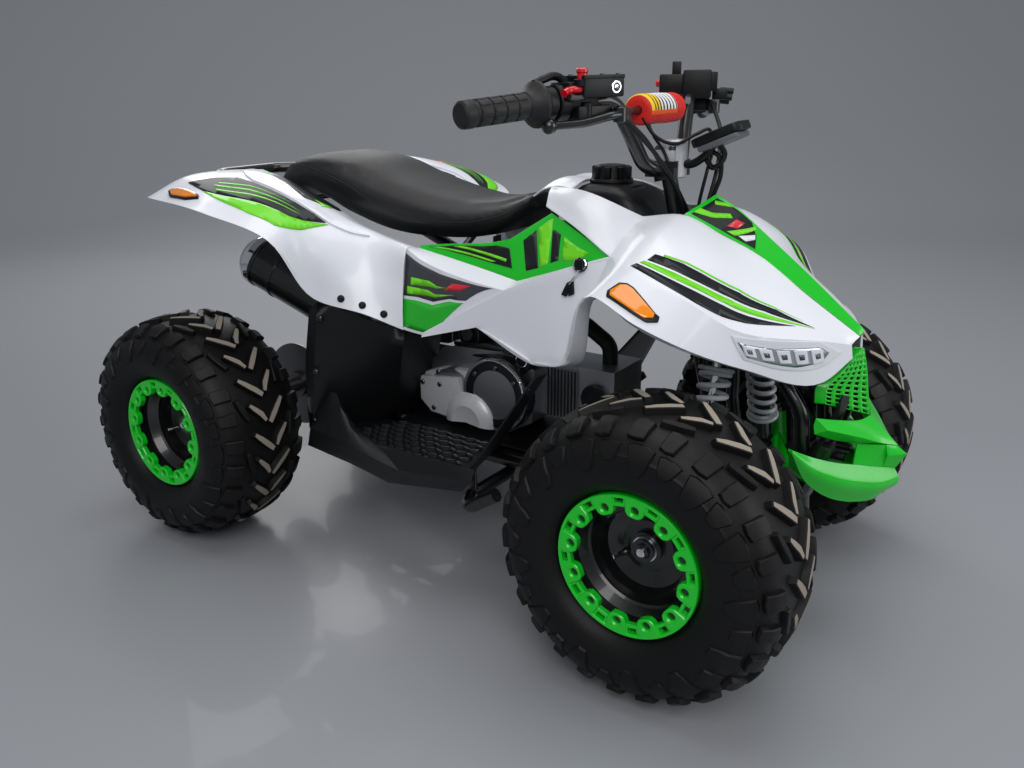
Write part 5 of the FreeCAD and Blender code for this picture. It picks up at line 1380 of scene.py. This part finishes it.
def add_seam(cover):
    """The welt along the saddle's edges, with a row of stitches above it."""
    graph = bpy.context.evaluated_depsgraph_get()
    tree = BVHTree.FromObject(cover.evaluated_get(graph), graph)
    seam = []
    for point in curve_through(SEAM_GUIDE, 10):
        hit, normal, _, _ = tree.find_nearest(point)
        seam.append(hit - normal * (0.4 * MM))
    welt = Maker(VINYL, BLACK_FILM)
    welt.hose(seam, 1.3, 0, sides=8, smooth=False)
    for here, there in zip(seam[2:-2], seam[3:-1]):
        hit, normal, _, _ = tree.find_nearest(here.lerp(there, 0.5) + UP * (4.2 * MM))
        half = (there - here).normalized() * (2.2 * MM)
        spot = hit + normal * (0.2 * MM)
        welt.hose([spot - half, spot + half], 0.5, 1, sides=6, smooth=False)
    welt.mirror()
    welt.piece("saddle_seam", "chassis", "seat_vinyl", sharp=60)


add_seam(add_saddle())

# Footwells

tray_inner = row_of((-50, -198, 400), (-128, -137, 213), (84, -118, 205), (207, -170, 368))
tray_outer = row_of((-184, -262, 446), (-189, -287, 227), (126, -287, 207), (228, -238, 382))
well_rear = Panel(
    [[tray_inner[0], tray_inner[1]], [tray_outer[0], tray_outer[1]]], (1, -0.3, 0), along=6, across=6)
well_floor = Panel(
    [[tray_inner[1], tray_inner[2]], [tray_outer[1], tray_outer[2]]], (0, 0, 1), along=6, across=6)
well_front = Panel(
    [[tray_inner[2], tray_inner[3]], [tray_outer[2], tray_outer[3]]], (-1, 0, 1), along=6, across=6)
wing_low = row_of(
    (-180, -300, 236), (-128, -303, 231), (-83, -306, 226), (-34, -306, 217), (20, -306, 208),
    (157, -300, 222))
wing_high = row_of(
    (-192, -286, 240), (-152, -274, 297), (-139, -274, 297), (-100, -276, 251), (-45, -280, 229),
    (155, -289, 236))
wing = Panel([wing_low, wing_high], (0, -1, -0.3), (1, 2, 4), along=4, across=4)
skirt_low = row_of(
    (-210, -280, 190), (-160, -278, 183), (-114, -276, 177), (-70, -276, 170), (-30, -276, 163),
    (126, -282, 190))
skirt = Panel([wing_low, skirt_low], (0, -1, -0.2), (1, 2, 4), along=4, across=3)
flange_out = row_of((-200, -266, 432), (-211, -272, 330), (-180, -300, 236))
flange_in = row_of((-184, -262, 446), (-187, -275, 336), (-189, -287, 227))
flange = Panel([flange_in, flange_out], (0.2, -1, 0), along=4, across=3)
guard_rear = Panel(
    [[tray_inner[0], tray_inner[1]], row_of((-70, -62, 396), (-112, -62, 213))], (1, -0.3, 0), along=4,
    across=4)
belly = Panel(
    [[tray_inner[1], tray_inner[2]], row_of((-112, 0, 204), (90, 0, 203))], (0, 0, 1), along=4, across=4)
belly_front = Panel(
    [[tray_inner[2], mm(236, -116, 204)], row_of((90, 0, 203), (236, 0, 204))], (0, 0, 1), along=4,
    across=4)
moulded("footwells", [
    well_rear, well_floor, well_front, wing, skirt, flange, guard_rear, belly, belly_front], "black_plastic",
        ["footwell_right", "footwell_left"])

CLEAT = material("footwell_gloss", linear(40, 41, 44), 0.12, coat=0.6, mottling=0.04)


def add_cleats():
    """Rows of raised cleats on the footwell floors, leaning one way and the other in turn."""
    cleats = Maker(CLEAT, BLACK)
    for row in range(7):
        share = 0.12 + row * 0.115
        for column in range(13):
            along = 0.16 + column * 0.062
            spot = well_floor.at(along, share)
            ahead = (well_floor.at(along + 0.02, share) - spot).normalized()
            aside = (well_floor.at(along, share + 0.02) - spot).normalized()
            up = ahead.cross(aside)
            up = -up if up.z < 0 else up
            lean = 0.5 if (row + column) % 2 else -0.5
            run = (ahead * math.cos(lean) + aside * math.sin(lean)).normalized()
            wide = up.cross(run) * (3 * MM)
            run = run * (7.4 * MM)
            base = spot - up * (0.6 * MM)
            corners = [base - run - wide, base + run - wide, base + run + wide, base - run + wide]
            cleats.plate(corners, up * (5.6 * MM), 0, 1.3)
    cleats.mirror()
    cleats.piece("footwell_cleats", "chassis", "black_plastic")


def add_footwell_bolts():
    """The bolts that hold the footwells' flanges."""
    bolts = Maker(STEEL_BLACK)
    for point in row_of(
        (-176, -266, 420), (-179, -280, 330), (-181, -288, 244), (212, -232, 356), (198, -196, 352)):
        bolts.lathe(point + move(0, 1, 0), (0.1, -1, 0), (
            (0, TIP), (0, 5.5), (2, 5.5), (3.5, 3.8), (3.5, TIP)), 16, 0, False)
    bolts.mirror()
    bolts.piece("footwell_bolts", "chassis", "black_steel")


add_cleats()
add_footwell_bolts()

# Engine

DARK_CAST = material(
    "dark_casting", linear(38, 39, 42), 0.36, metallic=0.6, grain=0.4, grain_scale=800, mottling=0.08)


def arch_cover(maker, x, z, start, profile, look, first, last, steps=48):
    """The part of a turned cover that stands above the footwell, between two angles from upright."""
    points, faces = [], []
    for step in range(steps + 1):
        angle = math.radians(first + (last - first) * step / steps)
        for out, radius in profile:
            points.append(mm(x + radius * math.sin(angle), -start - out, z + radius * math.cos(angle)))
    width = len(profile)
    for step in range(steps):
        for column in range(width - 1):
            here = step * width + column
            faces.append((here, here + 1, here + width + 1, here + width))
    maker.add(points, faces, look)


def face_lathe(maker, x, z, start, profile, look, steps=48):
    """A turned cover on the right of the engine, from millimetres outboard and radius."""
    maker.lathe(mm(x, -start, z), RIGHT, profile, steps, look, closed=False)


def face_plate(maker, y, places, depth, look, bevel):
    """A plate of a depth at a distance to the right, from (x, z) places."""
    maker.plate([mm(x, -y, z) for x, z in places], RIGHT * (depth * MM), look, bevel)


def round_clutch(radius, degrees):
    """A place at a radius and an angle from upright round the clutch cover's middle."""
    angle = math.radians(degrees)
    return 62 + radius * math.sin(angle), 282 + radius * math.cos(angle)


def add_engine():
    """The covers, plates, bolts, fins, starter and hoses on the right of the engine."""
    motor = Maker(SATIN, DARK_CAST, CHROME, STEEL)
    face_plate(motor, 70, (
        (-104, 292), (-60, 308), (6, 312), (14, 290), (10, 262), (10, 214), (-76, 222),
        (-102, 244)), 22, 0, 4)
    face_plate(motor, 92, ((-98, 290), (-12, 300), (-4, 270), (-4, 220), (-74, 226), (-98, 246)), 12, 0, 4)
    arch_cover(motor, 10, 226, 74, (
        (0, 51), (27, 51), (30, 49.5), (34, 45), (38, 37), (40, 31), (40.5, 29.5), (40, 28),
        (40, 0)), 0, -98, 98)
    face_lathe(
        motor, 62, 282, 74, ((0, 66), (20, 66), (26, 62), (28, 56), (28, 44), (25, 42), (25, TIP)), 1, 64)
    for degrees in (-50, 5, 55, 105):
        face_lathe(
            motor, *round_clutch(50, degrees), 101.5, ((0, 4.4), (3, 4.4), (4, 3.4), (4, TIP)), 3, 12)
    rim_places = [round_clutch(61, degrees) for degrees in range(-20, 130, 6)]
    motor.hose([mm(x, -100.5, z) for x, z in rim_places], 2.6, 2, 2, 10)
    for x, z in ((-90, 280), (-64, 300), (-52, 282), (-66, 236)):
        face_lathe(
            motor, x, z, 92 if z > 290 else 104, ((0, 4.2), (2.6, 4.2), (3.4, 3.2), (3.4, TIP)), 3, 12)
    face_lathe(motor, 106, 346, 30, ((0, 20), (50, 20), (53, 18), (53, 14), (50, 12.5), (50, TIP)), 1, 40)
    face_lathe(motor, 106, 346, 82, ((0, 11.6), (1.6, 11.6), (1.6, 9.6), (0, 9.6)), 2, 40)
    face_lathe(motor, 230, 292, 40, (
        (0, 25.5), (16, 25.5), (19, 23), (19, 18), (17.5, 17), (17.5, TIP)), 1, 40)
    for rib in range(9):
        x = 141 + rib * 6.4
        face_plate(motor, 54, ((x, 250), (x + 2, 250), (x + 2, 334), (x, 334)), 3, 1, 0.5)
    motor.bar(mm(-20, -61, 368), mm(-20, 44, 368), 23.2, 36, 1, chamfer=3)
    motor.bar(mm(-20, -66, 368), mm(-20, -60, 368), 12, 24, 3, chamfer=1)
    motor.hose(row_of((-44, -64, 350), (-20, -72, 352), (20, -74, 356), (60, -66, 352)), 5, 1, 8, 10)
    motor.hose(row_of(
        (-60, -60, 342), (-10, -70, 336), (44, -72, 342), (96, -60, 348), (130, -46, 350)), 4.2, 1, 8, 10)
    motor.piece("engine_covers", "chassis", "engine_metal")


add_engine()

# Coils and dampers of the three shocks


def coil(maker, low, high, start, end, radius, wire, turns=8, look=0):
    """A spring round the line between two eyes, between two shares of its length, in millimetres."""
    along = (high - low).normalized()
    side = along.orthogonal().normalized()
    other = along.cross(side)
    first, last = low.lerp(high, start), low.lerp(high, end)
    steps = turns * 20
    line = []
    for step in range(steps + 1):
        share = min(max((step - 8) / (steps - 16), 0), 1)
        line.append(first.lerp(last, share) + spoke(side, other, step, 20) * (radius * MM))
    maker.hose(line, wire, look, sides=10, smooth=False)
    for place, away in ((first, -1), (last, 1)):
        maker.lathe(place, along * away, (
            (3, 12), (3, radius + 4), (4.5, radius + 5.5), (7.5, radius + 5.5), (9, radius + 3),
            (9, 12)), 40, look)


def damper(maker, low, high, body, axis, width):
    """The damper's body and rod between two eyes, whose axis and width are given."""
    middle = low.lerp(high, 0.56)
    inset = (high - low).normalized() * (8 * MM)
    maker.bar(low + inset, middle, body, 32, 1, chamfer=1.5)
    maker.bar(middle, high - inset, 6, 24, 2)
    for eye in (low, high):
        maker.lathe(eye - axis * (width / 2 * MM), axis, (
            (0, 4.2), (0, 9), (1, 11), (width - 1, 11), (width, 9), (width, 4.2)), 28, 1)


def add_shocks():
    """Grey coils over black dampers: two in front and one behind."""
    low, high = mm(445, -150, 205), mm(445, -78, 432)
    front = Maker(SPRING, STEEL_BLACK, CHROME)
    coil(front, low, high, 0.24, 0.80, 20.5, 3.8)
    damper(front, low, high, 13.5, Vector((1, 0, 0)), 28)
    front.mirror()
    front.piece("front_springs", "chassis", "spring", ["front_shocks"])
    low, high = mm(-318, 0, 282), mm(-196, 0, 470)
    rear = Maker(SPRING, STEEL_BLACK, CHROME)
    coil(rear, low, high, 0.26, 0.82, 22.5, 4)
    damper(rear, low, high, 15, -RIGHT, 30)
    rear.piece("rear_spring", "chassis", "spring", ["rear_shock"])


add_shocks()

# Silencer's end and bands


def add_silencer_end():
    """The chrome end with its dark opening, and two bands."""
    front, end = mm(-196, -172, 408), mm(-400, -206, 496)
    along = (end - front).normalized()
    tip = Maker(CHROME, STEEL_BLACK, BLACK)

    def band(back, profile, steps, look, closed=False):
        """A turned shape that starts a distance back from the end."""
        tip.lathe(end - along * (back * MM), along, profile, steps, look, closed)

    band(30, (
        (0, 45.8), (0, 47.2), (10, 47.5), (16.5, 46.8), (24, 41), (30, 36), (32.5, 33), (34, 28.5),
        (34, 24.5), (32, 22.6), (2, 22.3)), 56, 0)
    band(28.5, ((0, TIP), (0, 21.9)), 40, 2)
    for back in (34, 78):
        band(back, (
            (0, 46.2), (0, 47.2), (1.5, 47.6), (6, 47.6), (7.5, 47.2), (7.5, 46.2)), 56, 1, True)
    tip.piece("silencer_end", "chassis", "chrome")


add_silencer_end()

# Camera, found from the four wheels and the handlebar in the photograph

CAMERA_PLACE = mm(900.862, -1312.535, 796.802)
CAMERA_YAW = 0.630
CAMERA_PITCH = 0.280
CAMERA_ROLL = -0.016
CAMERA_LENS = 32.17
CAMERA_SHIFT = (0.039, -0.039)


def add_camera():
    """The photograph's view of the vehicle."""
    ahead = Vector((
        -math.sin(CAMERA_YAW) * math.cos(CAMERA_PITCH),
        math.cos(CAMERA_YAW) * math.cos(CAMERA_PITCH),
        -math.sin(CAMERA_PITCH)))
    right = Vector((math.cos(CAMERA_YAW), math.sin(CAMERA_YAW), 0))
    up = right.cross(ahead)
    cosine, sine = math.cos(CAMERA_ROLL), math.sin(CAMERA_ROLL)
    rolled_right = cosine * right + sine * up
    rolled_up = cosine * up - sine * right
    lens = bpy.data.cameras.new("camera")
    lens.lens = CAMERA_LENS
    lens.sensor_width = 36
    lens.shift_x, lens.shift_y = CAMERA_SHIFT
    lens.clip_end = 50
    camera = bpy.data.objects.new("camera", lens)
    turn = Matrix((rolled_right, rolled_up, -ahead)).transposed().to_4x4()
    camera.matrix_world = Matrix.Translation(CAMERA_PLACE) @ turn
    bpy.context.scene.collection.objects.link(camera)
    bpy.context.scene.camera = camera


def add_light(name, place, target, size, power):
    """A soft square lamp that faces a point."""
    lamp = bpy.data.lights.new(name, "AREA")
    lamp.size = size
    lamp.energy = power
    thing = bpy.data.objects.new(name, lamp)
    thing.location = place
    thing.rotation_euler = (Vector(target) - Vector(place)).to_track_quat("-Z", "Y").to_euler()
    bpy.context.scene.collection.objects.link(thing)


FLOOR_GREY = linear(152, 154, 159)
WALL_GREY = linear(190, 192, 196)
WORLD_GREY = linear(205, 208, 214)
WORLD_STRENGTH = 0.36
# Each lamp's place, the point it faces, its size and its power
LAMPS = {
    "key": ((1.6, -2.6, 2.6), (0, 0, 0.3), 2.2, 54),
    "top": ((0.1, 0.2, 3.2), (0, 0, 0.3), 2.6, 42),
    "rim": ((-2.4, 1.8, 2.0), (0, 0, 0.4), 1.6, 20),
    "front": ((2.8, 0.6, 1.3), (0.2, 0, 0.4), 1.6, 22),
}
# The backdrop in metres: its half width, where its curve begins, the curve's radius and its height
BACKDROP_HALF, BACKDROP_NEAR, BACKDROP_FAR = 7.0, -9.0, 3.0
BACKDROP_RADIUS, BACKDROP_HEIGHT = 2.5, 6.0
BACKDROP_STEPS = 16


def studio_material():
    """A satin grey floor that turns paler up the backdrop."""
    made = material("studio_floor", FLOOR_GREY, 0.34, coat=0.15, mottling=0.03)
    nodes, links = made.node_tree.nodes, made.node_tree.links
    place = nodes.new("ShaderNodeTexCoord")
    parts = nodes.new("ShaderNodeSeparateXYZ")
    share = nodes.new("ShaderNodeMapRange")
    blend = nodes.new("ShaderNodeMix")
    links.new(place.outputs["Object"], parts.inputs["Vector"])
    links.new(parts.outputs["Y"], share.inputs["Value"])
    share.inputs["From Min"].default_value = 0.4
    share.inputs["From Max"].default_value = 3.6
    blend.data_type = "RGBA"
    blend.inputs["A"].default_value = (*FLOOR_GREY, 1)
    blend.inputs["B"].default_value = (*WALL_GREY, 1)
    links.new(share.outputs["Result"], blend.inputs["Factor"])
    links.new(blend.outputs["Result"], nodes["Principled BSDF"].inputs["Base Color"])
    return made


def add_backdrop():
    """A pale floor that curves up into a wall."""
    radius = BACKDROP_RADIUS
    profile = [(BACKDROP_NEAR, 0.0)]
    for step in range(BACKDROP_STEPS + 1):
        angle = math.pi / 2 * step / BACKDROP_STEPS
        profile.append((BACKDROP_FAR + radius * math.sin(angle), radius - radius * math.cos(angle)))
    profile.append((BACKDROP_FAR + radius, BACKDROP_HEIGHT))
    builder = bmesh.new()
    rows = []
    for across in (-BACKDROP_HALF, BACKDROP_HALF):
        rows.append([builder.verts.new((across, along, up)) for along, up in profile])
    for a, b, c, d in zip(rows[0], rows[0][1:], rows[1][1:], rows[1]):
        builder.faces.new((a, d, c, b)).smooth = True
    mesh = bpy.data.meshes.new("backdrop")
    builder.to_mesh(mesh)
    builder.free()
    backdrop = bpy.data.objects.new("backdrop", mesh)
    backdrop.rotation_euler.z = CAMERA_YAW
    bpy.context.scene.collection.objects.link(backdrop)
    backdrop.data.materials.append(studio_material())


def add_lighting():
    """Soft lamps and a plain world."""
    for name, setting in LAMPS.items():
        add_light(name, *setting)
    world = bpy.data.worlds.new("studio")
    world.use_nodes = True
    background = world.node_tree.nodes["Background"]
    background.inputs["Color"].default_value = (*WORLD_GREY, 1)
    background.inputs["Strength"].default_value = WORLD_STRENGTH
    bpy.context.scene.world = world
    bpy.context.scene.view_settings.view_transform = "Standard"


add_camera()
add_backdrop()
add_lighting()
